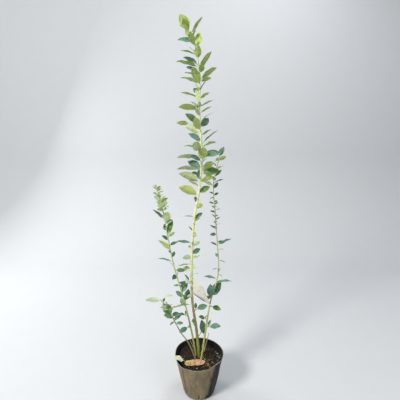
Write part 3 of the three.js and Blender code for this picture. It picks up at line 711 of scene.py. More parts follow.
# Each spray's materials, by those kinds
LEAF_MATERIALS = (TOP_TEAL, TOP_DEEP, TOP_GREEN, UNDER_PALE, UNDER_GREY, VEIN)
TIP_MATERIALS = (TOP_TEAL, TOP_DEEP, TIP_TOP, TIP_UNDER, TIP_UNDER, VEIN)
SPRAY_MATERIALS = {
    "centre_shoot_1": (TOP_TEAL, YOUNG_TOP, TOP_TEAL, YOUNG_UNDER, UNDER_GREY, VEIN),
    "left_tip": (YOUNG_TOP, YOUNG_TOP, YOUNG_TOP, UNDER_PALE, YOUNG_UNDER, VEIN),
    "low_shoot": (TOP_TEAL, YOUNG_TOP, TOP_GREEN, YOUNG_UNDER, YOUNG_UNDER, VEIN),
    "centre_tip": TIP_MATERIALS,
    "centre_shoot_5": TIP_MATERIALS,
}
YOUNG_SPRAYS = ("left_tip", "low_shoot")


def cane_finish(name, streak, *stops):
    """Bark whose colour changes with height, with long streaks and pale pores.

    Each stop is a height in millimetres and a colour.
    """
    finish = Finish(name, 0.55, 0.4)
    low, high = stops[0][0], stops[-1][0]
    up = finish.wander(finish.axis("Z"), finish.noise(9, 3, (1, 1, 0.25)), 0.03)
    share = finish.mask(up, low * MM, high * MM, "LINEAR")
    base = finish.ramp(share, [((height - low) / (high - low), srgb(color)) for height, color in stops])
    streaks = finish.times(finish.patches(1.6, 4, 0.42, 0.68, (1, 1, 0.07)), streak)
    pores = finish.times(finish.patches(1.1, 2, 0.66, 0.74, (1, 1, 0.5)), 0.5)
    color = finish.mix(pores, finish.mix(streaks, base, (104, 88, 60)), (196, 190, 150))
    return finish.made(color, (finish.noise(0.7, 4, (1, 1, 0.12)), 0.25), (finish.noise(3, 2), 0.2))


CANE_FINISHES = {
    "centre": cane_finish(
        "cane_bark_centre", 0.4,
        (108, (112, 110, 60)), (150, (130, 136, 70)), (225, (142, 140, 74)), (265, (148, 124, 76)),
        (305, (160, 144, 92)), (345, (200, 202, 146)), (560, (212, 218, 142)), (1060, (202, 214, 148)),
    ),
    "left": cane_finish(
        "cane_bark_green", 0.25,
        (108, (140, 134, 76)), (170, (168, 170, 92)), (260, (172, 184, 108)), (760, (178, 200, 122)),
    ),
    "right": cane_finish(
        "cane_bark_right", 0.3,
        (108, (150, 150, 84)), (200, (168, 174, 96)), (330, (178, 178, 116)), (560, (158, 168, 122)),
        (760, (172, 188, 126)),
    ),
    "low": cane_finish(
        "cane_bark_low", 0.4, (108, (140, 124, 92)), (190, (124, 122, 68)), (350, (166, 186, 104)),
    ),
}


# Canes and stems

OLD_WOOD = 330
SCAR_STEP = 23
STEM_GRID = (1.3, 16)
BARK_GRID = (0.9, 36)
BUD_LENGTH = 1.6


def bark_relief(angle, height, radius, nodes):
    """How far the bark stands out, in millimetres, with its grain, ribs and swollen nodes."""
    age = np.clip((OLD_WOOD - height) / 150, 0.2, 1)

    def grain(cell, stretch, seed):
        return smooth_noise(xyz(np.cos(angle) * radius, np.sin(angle) * radius, height * stretch), cell, seed)

    out = age * (0.15 * grain(0.8, 0.07, 1) + 0.03 * grain(0.5, 0.4, 3))
    out += radius * (0.06 * grain(2.5, 0.3, 2) + 0.03 * np.cos(2 * angle + height / 30))
    for node_height, node_bearing in nodes:
        bump = 0.07 * radius + 0.45 * bell(degrees_apart(angle, node_bearing), 45)
        out += bell(height - node_height, 2.2) * bump
    return out


def limb(cane, low, high, nodes, step, sides, tip=False):
    """A length of cane. Its lower end is tucked into what is below it, and a tip closes in a bud."""
    count = max(3, round((high - low) / step))
    heights = np.linspace(low, high, count)
    centres = np.array([cane_point(cane, h) for h in heights])
    radii = np.array([[cane_radius(cane, h)] for h in heights])
    angles, levels = np.meshgrid(round_turn(sides), heights)
    reach = radii + bark_relief(angles, levels, radii, nodes)
    reach *= 0.8 + 0.2 * np.clip((levels - low) / 0.8, 0, 1)
    if tip:
        reach *= np.sqrt(np.clip((high - levels) / 3.5, 0.02, 1))
    rings = centres[:, None] + xyz(reach * np.cos(angles), reach * np.sin(angles), 0)
    return rings.reshape(-1, 3), (grid_quads(count, sides, True), 0), (end_faces(count, sides), 0)


def bud(root, bearing, rise, length, radius):
    """A small pointed bud."""
    share = np.linspace(0, 1, 8)
    line = np.asarray(root) + np.outer(share * length, heading(bearing, rise))
    radii = radius * np.sin(np.pi * (0.12 + 0.86 * share) ** 0.8) ** 0.8 + 0.03
    return tube(line, radii, 8, 1)


# Leaves

BLADE_THICK = 0.36
BLADE_ROWS = 34
BLADE_COLUMNS = 11
SIDE_VEINS = 7
MIDRIB_STEPS = 96


def fine_midrib(leaf, shares):
    """Places on the midrib's smooth curve, which the part's few straight steps follow."""
    return along_line(leaf.curve(MIDRIB_STEPS), shares)


def blade_grids(leaf, draw):
    """The two skins of a blade: folded along the midrib, wavy at the edge, quilted by its veins."""
    u = 0.5 - 0.5 * np.cos(np.pi * np.linspace(0.02, 0.995, BLADE_ROWS))[:, None]
    v = np.linspace(-1, 1, BLADE_COLUMNS)[None]
    share = leaf.stalk + (1 - leaf.stalk) * u
    side, face = np.array([leaf.frame(s) for s in share[:, 0]]).swapaxes(0, 1)
    twist = (u * 14 * draw.swing() + 4 * draw.swing()) * DEG
    side, face = side * np.cos(twist) + face * np.sin(twist), face * np.cos(twist) - side * np.sin(twist)
    widest = leaf.width / 2
    edge = 1 + 0.02 * np.sin(2 * np.pi * (3 * u + draw()))
    half = np.maximum(widest * blade_width(u) * edge, 0.18)
    fold = 0.22 + 0.1 * draw.swing()
    cup = 0.1 * draw()
    lift = half * (fold * np.abs(v) ** 1.15 - cup * np.abs(v) ** 3)
    for way in (-1, 1):
        wave = np.sin(2 * np.pi * ((1.4 + 0.8 * draw()) * u + draw()))
        lift += (v * way > 0) * 0.075 * widest * wave * v ** 2 * np.sin(np.pi * u)
    lift -= 0.035 * leaf.length * (0.4 + draw()) * u ** 4
    vein = np.abs(np.sin(np.pi * SIDE_VEINS * (u - 0.16 * np.abs(v)))) ** 0.7
    fade = (1 - np.abs(v) ** 4) * np.sin(np.pi * u) ** 0.5
    lift += 0.16 * np.minimum(1, widest / 6) * (vein - 0.7) * fade
    middle = fine_midrib(leaf, share[:, 0])
    flat = middle[:, None] + side[:, None] * (v * half)[..., None]
    thick = BLADE_THICK * (1 - 0.5 * np.abs(v) ** 3)
    top = flat + face[:, None] * (lift + thick / 2)[..., None]
    bottom = flat + face[:, None] * (lift - thick / 2)[..., None]
    ridge = middle + face * lift[:, BLADE_COLUMNS // 2, None]
    return top, bottom, ridge, face


def add_leaf(heap, leaf, draw):
    """A blade in its own outline, its stalk and midrib, with tones dealt by the draw."""
    top, bottom, ridge, face = blade_grids(leaf, draw)
    kind_top = TOP_KINDS[int(draw() * len(TOP_KINDS))]
    kind_bottom = UNDER_KINDS[int(draw() * len(UNDER_KINDS))]
    heap.add(*slab(top, bottom, kind_top, kind_bottom, kind_bottom))
    size = min(1, leaf.length / 40)
    stalk = fine_midrib(leaf, np.linspace(0, leaf.stalk, 5)[:-1])
    line = np.concatenate([stalk, (ridge - face * 0.12 * size)[::3]])
    radii = size * (0.16 + 0.5 * (1 - np.linspace(0, 1, len(line))) ** 1.3)
    heap.add(*tube(line, radii, 6, VEIN_KIND))


stems = {cane: Heap() for cane in CANES}
bare_nodes = {cane: [] for cane in CANES}
stem_nodes = {cane: [] for cane in CANES}

for name, cane, low, high, count, lengths, rise, roll, seed, own_leaves in SHOOTS:
    leaves = grow_shoot(cane, low, high, count, lengths, rise, roll, seed, own_leaves)
    draw = Draw(seed + 5000)
    heap = Heap()
    for leaf in leaves:
        add_leaf(heap, leaf, draw)
        out = heading(leaf.bearing, 0) * cane_radius(cane, leaf.root[2]) * 0.7
        stems[cane].add(*bud(leaf.root + out + (0, 0, 1.2), leaf.bearing, 62, BUD_LENGTH + draw(), 0.55))
    slot = "young_foliage" if name in YOUNG_SPRAYS else "foliage"
    heap.piece(f"leaves_{name}", SPRAY_MATERIALS.get(name, LEAF_MATERIALS), slot, (name,))
    top = CANES[cane][2][-1][0]
    ends = high >= top - 2
    swollen = [(leaf.root[2], leaf.bearing) for leaf in leaves]
    stems[cane].add(*limb(cane, low - 0.9, top if ends else high, swollen, *STEM_GRID, ends))
    stem_nodes[cane].append(name)

for cane in ("left", "centre", "right"):
    heap = Heap()
    names = []
    for name, _, height, bearing, rise, *growth, seed in (spur for spur in SPURS if spur[1] == cane):
        draw = Draw(seed + 6000)
        for leaf in grow_spur(cane, height, bearing, rise, *growth, seed):
            add_leaf(heap, leaf, draw)
        start, along = spur_line(cane, height, bearing, rise)
        reach = np.linspace(-2.5, SPUR_LENGTH, 16)
        share = np.clip(reach / SPUR_LENGTH, 0, 1)
        radii = SPUR_RADIUS * (1 - (1 - SPUR_TAPER) * share) * (1 + 0.12 * np.sin(reach * 2.2))
        stems[cane].add(*tube(start + np.outer(reach, along), radii, 12))
        tip = start + along * (SPUR_LENGTH - 0.4)
        stems[cane].add(*bud(tip, bearing, max(rise, SPUR_RISE), 2.6, 0.95))
        bare_nodes[cane].append((height - 2, bearing))
        names.append(name)
    heap.piece(f"leaves_{cane}_spurs", LEAF_MATERIALS, "foliage", names)
    stem_nodes[cane] += names

for cane, (_, _, bends) in CANES.items():
    finishes = (CANE_FINISHES[cane], BUD)
    stems[cane].piece(f"stems_{cane}", finishes, "cane_bark", stem_nodes[cane])
    draw = Draw(len(cane) + 40)
    scars = []
    height = bends[0][0] + SCAR_STEP
    while height < BARE_TOP[cane] - 8:
        scars.append((height, draw() * 360))
        height += SCAR_STEP * (0.7 + 0.6 * draw())
    body = Heap(limb(cane, bends[0][0] - 1.5, BARE_TOP[cane], bare_nodes[cane] + scars, *BARK_GRID))
    for height, bearing in scars:
        out = heading(bearing, 0) * cane_radius(cane, height) * 0.9
        body.add(*bud(cane_point(cane, height) + out + (0, 0, 0.6), bearing, 70, BUD_LENGTH, 0.6))
    body.piece(f"bark_{cane}", finishes, "cane_bark", (f"cane_{cane}",))


# The pot

POT_SIDES = 288
WALL_ROWS = 70
LINING_ROWS = 46
FOOT_ROUND = 4
DRAIN_HOLES = 6
DRAIN_RING = 33
DRAIN_RADIUS = 4.5
# Over the rim's rolled edge: how far each row stands out from the film, and how far below the rim
RIM_EDGE = (
    (0.35, 1.7), (0.55, 1.0), (0.45, 0.3), (0.1, 0.0), (-0.5, 0.0), (-0.9, 0.35), (-1.0, 1.0), (-0.85, 1.7),
)
# Folds of the film: bearings at the low and the high end, low and high end, depth, width in degrees
FOLDS = (
    (214, 204, 10, 112, -1.7, 2.6), (224, 214, 16, 96, 0.8, 3.5), (271, 268, -14, 42, -3.6, 2.1),
    (312, 300, 8, 96, -1.8, 3.0), (303, 297, 40, 124, 0.8, 3.8), (330, 318, 26, 118, -1.6, 3.6),
    (244, 250, 52, 122, -0.9, 2.4), (340, 346, 10, 80, 1.0, 4.5), (20, 8, 30, 122, -1.6, 3.8),
    (62, 70, 6, 90, -1.5, 3.4), (105, 96, 34, 120, -1.3, 3.2), (150, 158, 10, 84, -1.6, 3.6),
    (190, 181, 28, 118, -1.3, 3.0), (256, 262, 60, 124, 0.7, 4.6),
)
# Shaded creases at the front: place across at the foot, lean, half width, low and high end, strength
CREASES = ((-37, -0.1, 3.2, 8, 118, 0.6), (0, -0.02, 2.2, -12, 30, 0.85), (49, -0.18, 2.2, 66, 122, 0.45))
CREASE_FADE = 12
# Painted shade: the film darkens to near black on the right of a slanted line, the side turned from the light
SHADE_SLANT = -0.22
SHADE_FROM = 0.014
SHADE_WHOLE = 0.024


def swell(angle, centre, width):
    return bell(np.degrees(angle) - centre, width)


def rim_rise(angle):
    return 4 * swell(angle, 300, 42) - 6 * swell(angle, 224, 16) + 0.6 * np.sin(5 * angle + 0.4) - 1


def pot_radius(angle, height):
    share = np.maximum(0, height / POT_HEIGHT)
    sway = 1.1 * np.sin(3 * angle + 0.5) + 0.7 * np.sin(5 * angle + 2)
    dent = DENT_DEPTH * swell(angle, DENT_BEARING, DENT_WIDTH) * np.maximum(0, 1 - height / DENT_HEIGHT)
    return mix(POT_BASE_RADIUS, POT_RIM_RADIUS, share) + sway * share ** 2 - dent


def film_wave(angle, height):
    """How far the soft film stands out from the plain cone: soft waves, and folds that lean."""
    x, y = 60 * np.cos(angle), 60 * np.sin(angle)
    broad = smooth_noise(xyz(x, y, height * 0.5), 24, 11)
    fine = smooth_noise(xyz(x, y, height * 0.25), 7, 12)
    out = 1.2 * broad + 0.5 * fine * np.clip(height / 60, 0, 1)
    for low_bearing, high_bearing, low, high, depth, width in FOLDS:
        share = (height - low) / (high - low)
        line = mix(low_bearing, high_bearing, share) + 1.5 * np.sin(height / 9)
        fade = np.clip(np.sin(np.pi * np.clip(share, 0, 1)), 0, 1) ** 0.6
        out += depth * np.exp(-np.abs(degrees_apart(angle, line) / width) ** 1.3) * fade
    return out * np.clip(height / 8, 0, 1)


def film_finish(name, outside):
    """Dusty soft film: taupe where mud has dried on it, near black on the right as painted shade on the side
    turned from the light, with painted shade in its creases at the front. Inside, dark film made darker still
    by painted shade.
    """
    finish = Finish(name, 0.52, 0.3)
    dust = finish.noise(16, 5, (1, 1, 0.45), 0.6)
    fine = finish.noise(1.6, 4)
    if outside:
        x, y, z = (finish.axis(letter) for letter in "XYZ")
        # Painted shade: near black on the right of a slanted line, the side turned from the light
        side = finish.math("MULTIPLY_ADD", z, SHADE_SLANT, finish.wander(x, dust, 0.03))
        shaded_side = finish.mask(side, SHADE_FROM, SHADE_WHOLE)
        mud = finish.mix(finish.mask(dust, 0.3, 0.72), (100, 88, 66), (134, 119, 90))
        black = finish.mix(finish.mask(fine, 0.5, 0.82), (17, 17, 21), (52, 54, 62))
        streaks = finish.patches(5, 4, 0.55, 0.75, (1, 1, 0.12))
        mud = finish.mix(finish.times(streaks, 0.35), mud, (72, 66, 54))
        front = finish.mask(y, 0.0, -0.01)
        # Painted shade in the creases at the front
        for start, lean, half, low, high, strength in CREASES:
            middle = finish.math("MULTIPLY_ADD", z, lean, start * MM)
            near = finish.times(finish.line(x, middle, half * MM, 0.2), front)
            near = finish.times(near, finish.mask(z, low * MM, (low + CREASE_FADE) * MM))
            near = finish.times(near, finish.mask(z, high * MM, (high - CREASE_FADE) * MM))
            mud = finish.mix(finish.times(near, strength), mud, (34, 30, 24))
        color = finish.mix(finish.patches(0.9, 2, 0.7, 0.78), finish.mix(shaded_side, mud, black), (150, 140, 118))
    else:
        # Inside: dark film, made darker still as painted shade
        color = finish.mix(finish.mask(fine, 0.3, 0.75), (14, 13, 16), (36, 33, 33))
    rough = finish.mask(dust, -0.6, 1.1, "LINEAR")
    return finish.made(color, (finish.noise(9, 4, (1, 1, 0.5)), 0.9), (fine, 0.12), rough=rough)


def make_pot():
    angle = round_turn(POT_SIDES)
    level = np.ones(POT_SIDES)
    top = POT_HEIGHT + rim_rise(angle)
    foot = POT_BASE_RADIUS - FOOT_ROUND

    def wall(height, kind, off=0.0):
        return pot_radius(angle, height) + film_wave(angle, height) + off, height, kind

    rows = [(0, 0, 0), (level * foot * 0.5, 0, 0), (level * foot - DENT_DEPTH, 0, 0)]
    for turn in (0.3, 0.6):
        inset = FOOT_ROUND * (1 - math.sin(turn * math.pi / 2))
        rows.append(wall(level * FOOT_ROUND * (1 - math.cos(turn * math.pi / 2)), 0, -inset))
    rows += [wall(mix(FOOT_ROUND, top - 2.2, share), 0) for share in np.linspace(0, 1, WALL_ROWS)]
    rows += [wall(top - down, 2, off) for off, down in RIM_EDGE]
    rows += [wall(mix(top - 2.4, FOOT_ROUND, share), 1, -FILM) for share in np.linspace(0, 1, LINING_ROWS)]
    rows += [(level * foot - DENT_DEPTH - FILM, FILM, 1), (level * foot * 0.5, FILM, 1), (0, FILM, 1)]
    # The rim's rolled edge is paler: a painted highlight where it catches the light
    edge = mottled("film_rim_highlight", 0.38, (6, 3), (0.35, 0.65), (96, 90, 80), (146, 138, 122), ((1.4, 0.15),))
    finishes = (film_finish("pot_film_outside", True), film_finish("pot_film_inside", False), edge)
    pot = Heap(turned(rows)).piece("film_pot", finishes, "pot_film", ("pot",), 50)
    holes = [heading(360 / DRAIN_HOLES * k, 0) * DRAIN_RING for k in range(DRAIN_HOLES)]
    cut_holes(pot, Heap(*(tube([at - (0, 0, 3), at + (0, 0, 3)], DRAIN_RADIUS, 24) for at in holes)))


make_pot()


# The soil and what lies on it

SOIL_SIDES = 240
SOIL_INSET = 1.5
SOIL_FLOOR = 1.3
SOIL_LEVELS = (8, 30, 55, 80, 98)
SOIL_RINGS = 64


def soil_height(angle, r):
    """The part's own soil surface."""
    share = np.maximum(0, (r - SOIL_PLATEAU) / (POT_RIM_RADIUS - SOIL_PLATEAU))
    lump = 0.9 * np.sin(4 * angle + r / 7) + 0.7 * np.sin(7 * angle - r / 9)
    return mix(SOIL_TOP, SOIL_EDGE, share ** 1.3) + lump * np.minimum(1, share * 3)


def soil_surface(x, y):
    """The soil with its crumbly relief, as an array for a single place too."""
    at = xyz(x, y, [0.0])
    rough = 1.3 * smooth_noise(at, 9, 21) + 0.8 * smooth_noise(at, 3.6, 22) + 0.45 * smooth_noise(at, 1.6, 23)
    return soil_height(np.arctan2(y, x) % (2 * np.pi), np.hypot(x, y)) + rough - 0.2


def peat_finish():
    finish = Finish("peat", 0.92, 0.2)
    base = finish.mix(finish.patches(12, 4, 0.35, 0.65), (20, 17, 15), (36, 29, 24))
    color = finish.mix(finish.patches(1.3, 4, 0.6, 0.72), base, (56, 43, 33))
    return finish.made(color, (finish.noise(2.4, 5), 1.2), (finish.noise(0.6, 3), 0.4))


def make_soil():
    angle = round_turn(SOIL_SIDES)
    level = np.ones(SOIL_SIDES)

    def side(height):
        return pot_radius(angle, height * level) + film_wave(angle, height * level) - SOIL_INSET

    rows = [(0, SOIL_FLOOR, 0), (level * (POT_BASE_RADIUS - 2 * FOOT_ROUND), SOIL_FLOOR, 0)]
    rows += [(side(height), height, 0) for height in SOIL_LEVELS]
    edge = side(SOIL_EDGE)
    for share in np.linspace(1, 0.012, SOIL_RINGS):
        r = edge * share
        rows.append((r, soil_surface(r * np.cos(angle), r * np.sin(angle)), 0))
    rows.append((0, soil_surface(0, 0)[0], 0))
    Heap(turned(rows)).piece("peat_fill", (peat_finish(),), "peat", ("soil",), 80)


def ball(level):
    """The points and faces of a small round body."""
    shape = bmesh.new()
    bmesh.ops.create_icosphere(shape, subdivisions=level, radius=1)
    points = np.array([v.co[:] for v in shape.verts])
    faces = np.array([[v.index for v in f.verts] for f in shape.faces])
    shape.free()
    return points, faces


def scatter(draw, near, far, arc=None):
    """A random place on the soil, clear of the pot's wall, or in an arc of bearings and radii."""
    bearing = draw() * 2 * math.pi
    edge = float(pot_radius(np.array(bearing), SOIL_EDGE)) - SOIL_INSET - 1
    r = max(near, far * edge * math.sqrt(draw()))
    if arc:
        bearing, r = draw.within(arc[:2]) * DEG, draw.within(arc[2:])
    return r * math.cos(bearing), r * math.sin(bearing)


def crumb_finish(name, dark, light):
    return mottled(name, 0.9, (2.2, 3), (0.35, 0.65), dark, light, ((0.7, 4, 0.3),), 0.25)


def crumbs(name, finishes, count, sizes, seed, flat=1.0, arc=None):
    """Lumps of many sizes that lie on the soil."""
    draw = Draw(seed)
    points, faces = ball(2)
    heap = Heap()
    for k in range(count):
        x, y = scatter(draw, 4, 0.955, arc)
        size = mix(*sizes, draw() ** 2.5)
        rough = 1 + 0.35 * smooth_noise(points * 1.3 + k * 7.7, 1.0, seed)
        turn = draw() * 2 * math.pi
        stretch = np.array((1 + 0.7 * draw(), 1 - 0.3 * draw(), flat * (0.6 + 0.3 * draw())))
        a, b, up = (points * rough[:, None] * stretch * size).T
        spun = xyz(a * math.cos(turn) - b * math.sin(turn), a * math.sin(turn) + b * math.cos(turn), up)
        ground = soil_surface(x, y)[0]
        heap.add(spun + (x, y, ground + 0.3 * size * flat), (faces, int(draw() * len(finishes))))
    heap.piece(name, finishes, "peat", (), 40)


def straws(name, finish, count, lengths, radii, seed, arc=None):
    """Thin roots and bits of straw that follow the soil."""
    draw = Draw(seed)
    heap = Heap()
    for _ in range(count):
        x, y = scatter(draw, 10, 0.86, arc)
        way = draw() * 2 * math.pi
        bend = (draw() - 0.5) * 1.6
        length = draw.within(lengths)
        radius = draw.within(radii)
        steps = 12
        line = []
        while len(line) < steps and math.hypot(x, y) <= POT_RIM_RADIUS - 9:
            line.append((x, y, soil_surface(x, y)[0] + radius * 0.8 + 0.3))
            x += math.cos(way) * length / steps
            y += math.sin(way) * length / steps
            way += bend / steps
        if len(line) > 3:
            heap.add(*tube(line, radius, 6))
    heap.piece(name, (finish,), "peat")


make_soil()
crumbs("soil_crumbs", (
    crumb_finish("crumb_dark", (20, 17, 14), (38, 31, 25)),
    crumb_finish("crumb_brown", (32, 24, 18), (56, 40, 29)),
), 900, (0.5, 3.2), 31)
crumbs("soil_chips", (
    crumb_finish("chip_red", (48, 33, 26), (82, 58, 43)),
    crumb_finish("chip_tan", (104, 82, 56), (146, 120, 86)),
), 84, (0.8, 3.4), 32, 0.35)
crumbs("soil_grit", (crumb_finish("grit_pale", (176, 172, 160), (220, 216, 204)),), 70, (0.4, 1.3), 33)
crumbs("soil_grit_right", (
    crumb_finish("grit_white", (196, 192, 180), (232, 228, 218)),
), 16, (0.6, 1.9), 34, 0.8, (-24, 22, 58, 68))
straws("soil_fibres", crumb_finish("fibre_brown", (66, 50, 34), (108, 86, 58)), 80, (5, 22), (0.14, 0.32), 35)
straws("soil_straw", crumb_finish("straw_pale", (150, 132, 84), (208, 190, 136)),
       15, (9, 26), (0.22, 0.45), 36, (-70, 10, 22, 50))


# The pale lump: painted light, standing in for a strip of sunlight on the soil

SUNLIT_STRIP_X = -12
SUNLIT_STRIP_Y = -26
SUNLIT_STRIP_BEARING = 3
SUNLIT_STRIP_LENGTH = 60
SUNLIT_STRIP_WIDTH = 21
SUNLIT_STRIP_THICK = 8
SUNLIT_STRIP_EDGE = 0.8
SUNLIT_STRIP_LIFT = 0.9


def sunlit_strip_finish():
    # Painted light: pale tan and pink fibres for sunlight falling in a strip across the soil
    finish = Finish("sunlit_strip_lump", 0.85, 0.25)
    grain = finish.patches(1.5, 5, 0.32, 0.66, (0.3, 1, 1))
    pink = finish.mask(finish.wander(finish.axis("X"), finish.noise(5, 4), 0.05), -0.034, 0.008, "LINEAR")
    left = finish.mix(grain, (132, 100, 56), (214, 190, 134))
    right = finish.mix(grain, (146, 102, 76), (226, 190, 160))
    gaps = finish.patches(2.4, 5, 0.55, 0.66, (0.4, 1, 1))
    color = finish.mix(gaps, finish.mix(pink, left, right), (66, 42, 28))
    return finish.made(color, (finish.noise(1.3, 5, (0.3, 1, 1)), 1.4), (finish.noise(0.5), 0.2))


def make_sunlit_strip():
    """A pale fibrous lump, thickest in its middle, with split ends and layered edges: painted light that
    stands in for a strip of sunlight on the soil.
    """
    rows, columns = 72, 26
    way = heading(SUNLIT_STRIP_BEARING, 0)
    t = np.linspace(0, 1, rows)[:, None]
    w = np.sin(np.linspace(-1, 1, columns) * math.pi / 2)[None]
    jag = 0.04 * smooth_noise(xyz(0, w * 9, 0), 1.3, 41)
    share = t + np.where(t < 0.5, 1, -1) * jag * np.abs(2 * t - 1) ** 4
    half = SUNLIT_STRIP_WIDTH / 2 * mix(0.35, 1, np.sin(np.pi * t) ** 0.6)
    half = half * (1 + 0.1 * np.sin(9 * t + 1) + 0.05 * np.sin(23 * t))
    tall = SUNLIT_STRIP_THICK * mix(0.45, 1, np.sin(np.pi * t))
    x = SUNLIT_STRIP_X + way[0] * (share - 0.5) * SUNLIT_STRIP_LENGTH - way[1] * half * w
    y = SUNLIT_STRIP_Y + way[1] * (share - 0.5) * SUNLIT_STRIP_LENGTH + way[0] * half * w
    ground = soil_height(np.arctan2(y, x) % (2 * np.pi), np.hypot(x, y)) + SUNLIT_STRIP_LIFT
    crown = np.sqrt(np.maximum(0, 1 - w * w)) + 0 * t
    at = xyz(share * 5, y / 1.6, 0)
    fibre = smooth_noise(at, 1, 42) * 0.9 + smooth_noise(at * (3.5, 0.6, 1), 1, 44) * 0.9
    step = 0.6 * np.floor(3 * crown + 0.8 * smooth_noise(at * (2, 0.25, 1), 1, 43)) / 3
    top = ground + SUNLIT_STRIP_EDGE + tall * (0.86 * crown + 0.1 * step) + fibre * np.minimum(1, crown * 2)
    lump = slab(xyz(x, y, top)[:, ::-1], xyz(x, y, ground)[:, ::-1])
    Heap(lump).piece("sunlit_strip_lump", (sunlit_strip_finish(),), "bark_chip", ("bark_chip",), 70)


make_sunlit_strip()


# The dropped leaf

FALLEN_BEARING = 199
FALLEN_FROM = 47
FALLEN_LENGTH = 38
FALLEN_WIDE = 0.72
FALLEN_ROLL = 4
PETIOLE = 0.9
LEAF_THICK = 1.0
POT_WALL = 1.0


def make_fallen_leaf():
    angle = np.array(FALLEN_BEARING * DEG)
    low = float(soil_height(angle, FALLEN_FROM)) + GAP + PETIOLE
    high = POT_HEIGHT + float(rim_rise(angle)) + GAP + LEAF_THICK + POT_WALL
    rise = math.degrees(math.atan2(high - low, float(pot_radius(angle, POT_HEIGHT)) - FALLEN_FROM))
    root = heading(FALLEN_BEARING, 0) * FALLEN_FROM + (0, 0, low)
    leaf = Leaf(root, FALLEN_BEARING, rise, FALLEN_LENGTH, FALLEN_ROLL, 0, wide=FALLEN_WIDE)
    heap = Heap()
    add_leaf(heap, leaf, Draw(77))
    skin = leaf_finish("dropped_leaf", 0.6, (212, 218, 190), (184, 198, 158))
    heap.piece("dropped_leaf", (skin,) * VEIN_KIND + (VEIN,), "dry_leaf", ("fallen_leaf",))


make_fallen_leaf()


# The dry stubs

def make_stubs():
    grain = (1, 1, 0.1)
    finish = mottled("dead_wood", 0.85, (1.2, 4, grain), (0.35, 0.7), (120, 106, 84), (182, 168, 140),
                     ((0.8, 4, grain, 0.35),), 0.25)
    rings, sides = 44, 14
    for name, cane, height, bearing, rise, length, radius in STUBS:
        share = np.linspace(-1.2 / length, 1, rings)
        start = beside_cane(cane, height, bearing, rise, radius)
        line = start + np.outer(share * length, heading(bearing, rise))
        line[:, 1] += 0.5 * np.sin(share * 7)
        body, *faces = tube(line, 1.0, sides)
        axis = np.repeat(line, sides, 0)
        wide = radius * (1 - (1 - STUB_TAPER) * np.repeat(share, sides))
        wide *= 1 + 0.14 * smooth_noise(body * (3, 3, 0.25), 1.0, 51) + 0.12 * smooth_noise(body, 4, 52)
        stub = (axis + (body - axis) * wide[:, None], *faces)
        Heap(stub).piece(f"dry_{name}", (finish,), "dead_wood", (name,), 50)


make_stubs()


# The label and its tie

LABEL_LEFT = ((-9, 2, 369), (-11, -8, 321))
LABEL_RIGHT = ((13, -20, 356), (34, -18, 297))
LABEL_EDGE_BULGE = (-8, -2, -3)
LABEL_CROWN = 3
LABEL_THICK = 0.5
LABEL_CORNER = 0.09
HOLE_ACROSS = 0.15
HOLE_ALONG = 0.36
HOLE_RADIUS = 2.6
# The lower edge seen from the front: how steeply it falls, and how high it would be at the pot's axis
LABEL_FALL = 24 / 45
LABEL_LOW = 315.1
# Painted shade in the creases along the lower edge: distance above it, half width, strength
LABEL_CREASE_SHADES = ((6.2, 2.1, 0.95), (10.2, 1.1, 0.8))
TIE_HEIGHT = 373
TIE_RADIUS = 0.8
WIRE_RADIUS = 0.85 * TIE_RADIUS
TIE_HALF_WIDTH = 7
TIE_SIDES = 10
COIL_HEIGHT = 355
COIL_RISE = 5
COIL_TURNS = 2.4
# The tie's loose ends beside the cane: points along each, and its half width at either end
TIE_ENDS = (
    (((-25.6, 5, 355), (-30, 1, 360), (-36, -3, 369), (-40, -5, 377)), (1.2, 2.8)),
    (((-25.8, 6, 357), (-27, 3, 362), (-25, 1, 369)), (1.0, 2.1)),
    (((-24.6, 6, 322), (-29, 1, 319), (-35, -2, 316)), (2.2, 3.1)),
)


def label_middle(across, along):
    across, along = (a[..., None] for a in np.broadcast_arrays(np.asarray(across, float), along))
    left, right = (mix(*np.array(ends, float), along) for ends in (LABEL_LEFT, LABEL_RIGHT))
    return mix(left + np.array(LABEL_EDGE_BULGE, float) * np.sin(np.pi * along), right, across)


LABEL_FACE = unit(np.cross(
    label_middle(1, 0.5) - label_middle(0, 0.5),
    label_middle(0.5, 1) - label_middle(0.5, 0),
))


def label_point(across, along, off=0.0):
    crown = LABEL_CROWN * np.sin(np.pi * np.asarray(across, float))
    return label_middle(across, along) + LABEL_FACE * (off - crown)[..., None]


def label_finish():
    finish = Finish("label_card", 0.6, 0.4)
    x, z = finish.axis("X"), finish.axis("Z")
    above = finish.math("ADD", z, finish.math("MULTIPLY_ADD", x, LABEL_FALL, -LABEL_LOW * MM))
    base = finish.mix(finish.patches(14, 4, 0.45, 0.8), (190, 187, 179), (168, 164, 155))
    # Painted highlight: a pale strip along the lower edge, where the rolled edge catches the light
    base = finish.mix(finish.mask(above, 0.0045, 0.003), base, (224, 222, 212))
    # Painted shade in the creases above the rolled edge, on the left where the label curls
    left = finish.mask(x, 0.026, 0.012)
    for height, half, strength in LABEL_CREASE_SHADES:
        crease_shade = finish.times(finish.line(above, height * MM, half * MM, 0.3), left)
        base = finish.mix(finish.times(crease_shade, strength), base, (78, 80, 76))
    color = finish.mix(finish.patches(1.2, 3, 0.66, 0.76), base, (150, 142, 126))
    return finish.made(color, (finish.noise(10, 2), 0.5), (finish.noise(0.8), 0.05))


def rounded(a, b):
    """a drawn in towards the middle near a corner, so that corners are round."""
    p, q = (np.maximum(0, np.abs(2 * c - 1) - (1 - 2 * LABEL_CORNER)) / (2 * LABEL_CORNER) for c in (a, b))
    return a - np.sign(a - 0.5) * LABEL_CORNER * p * (1 - np.sqrt(1 - q * q / 2))


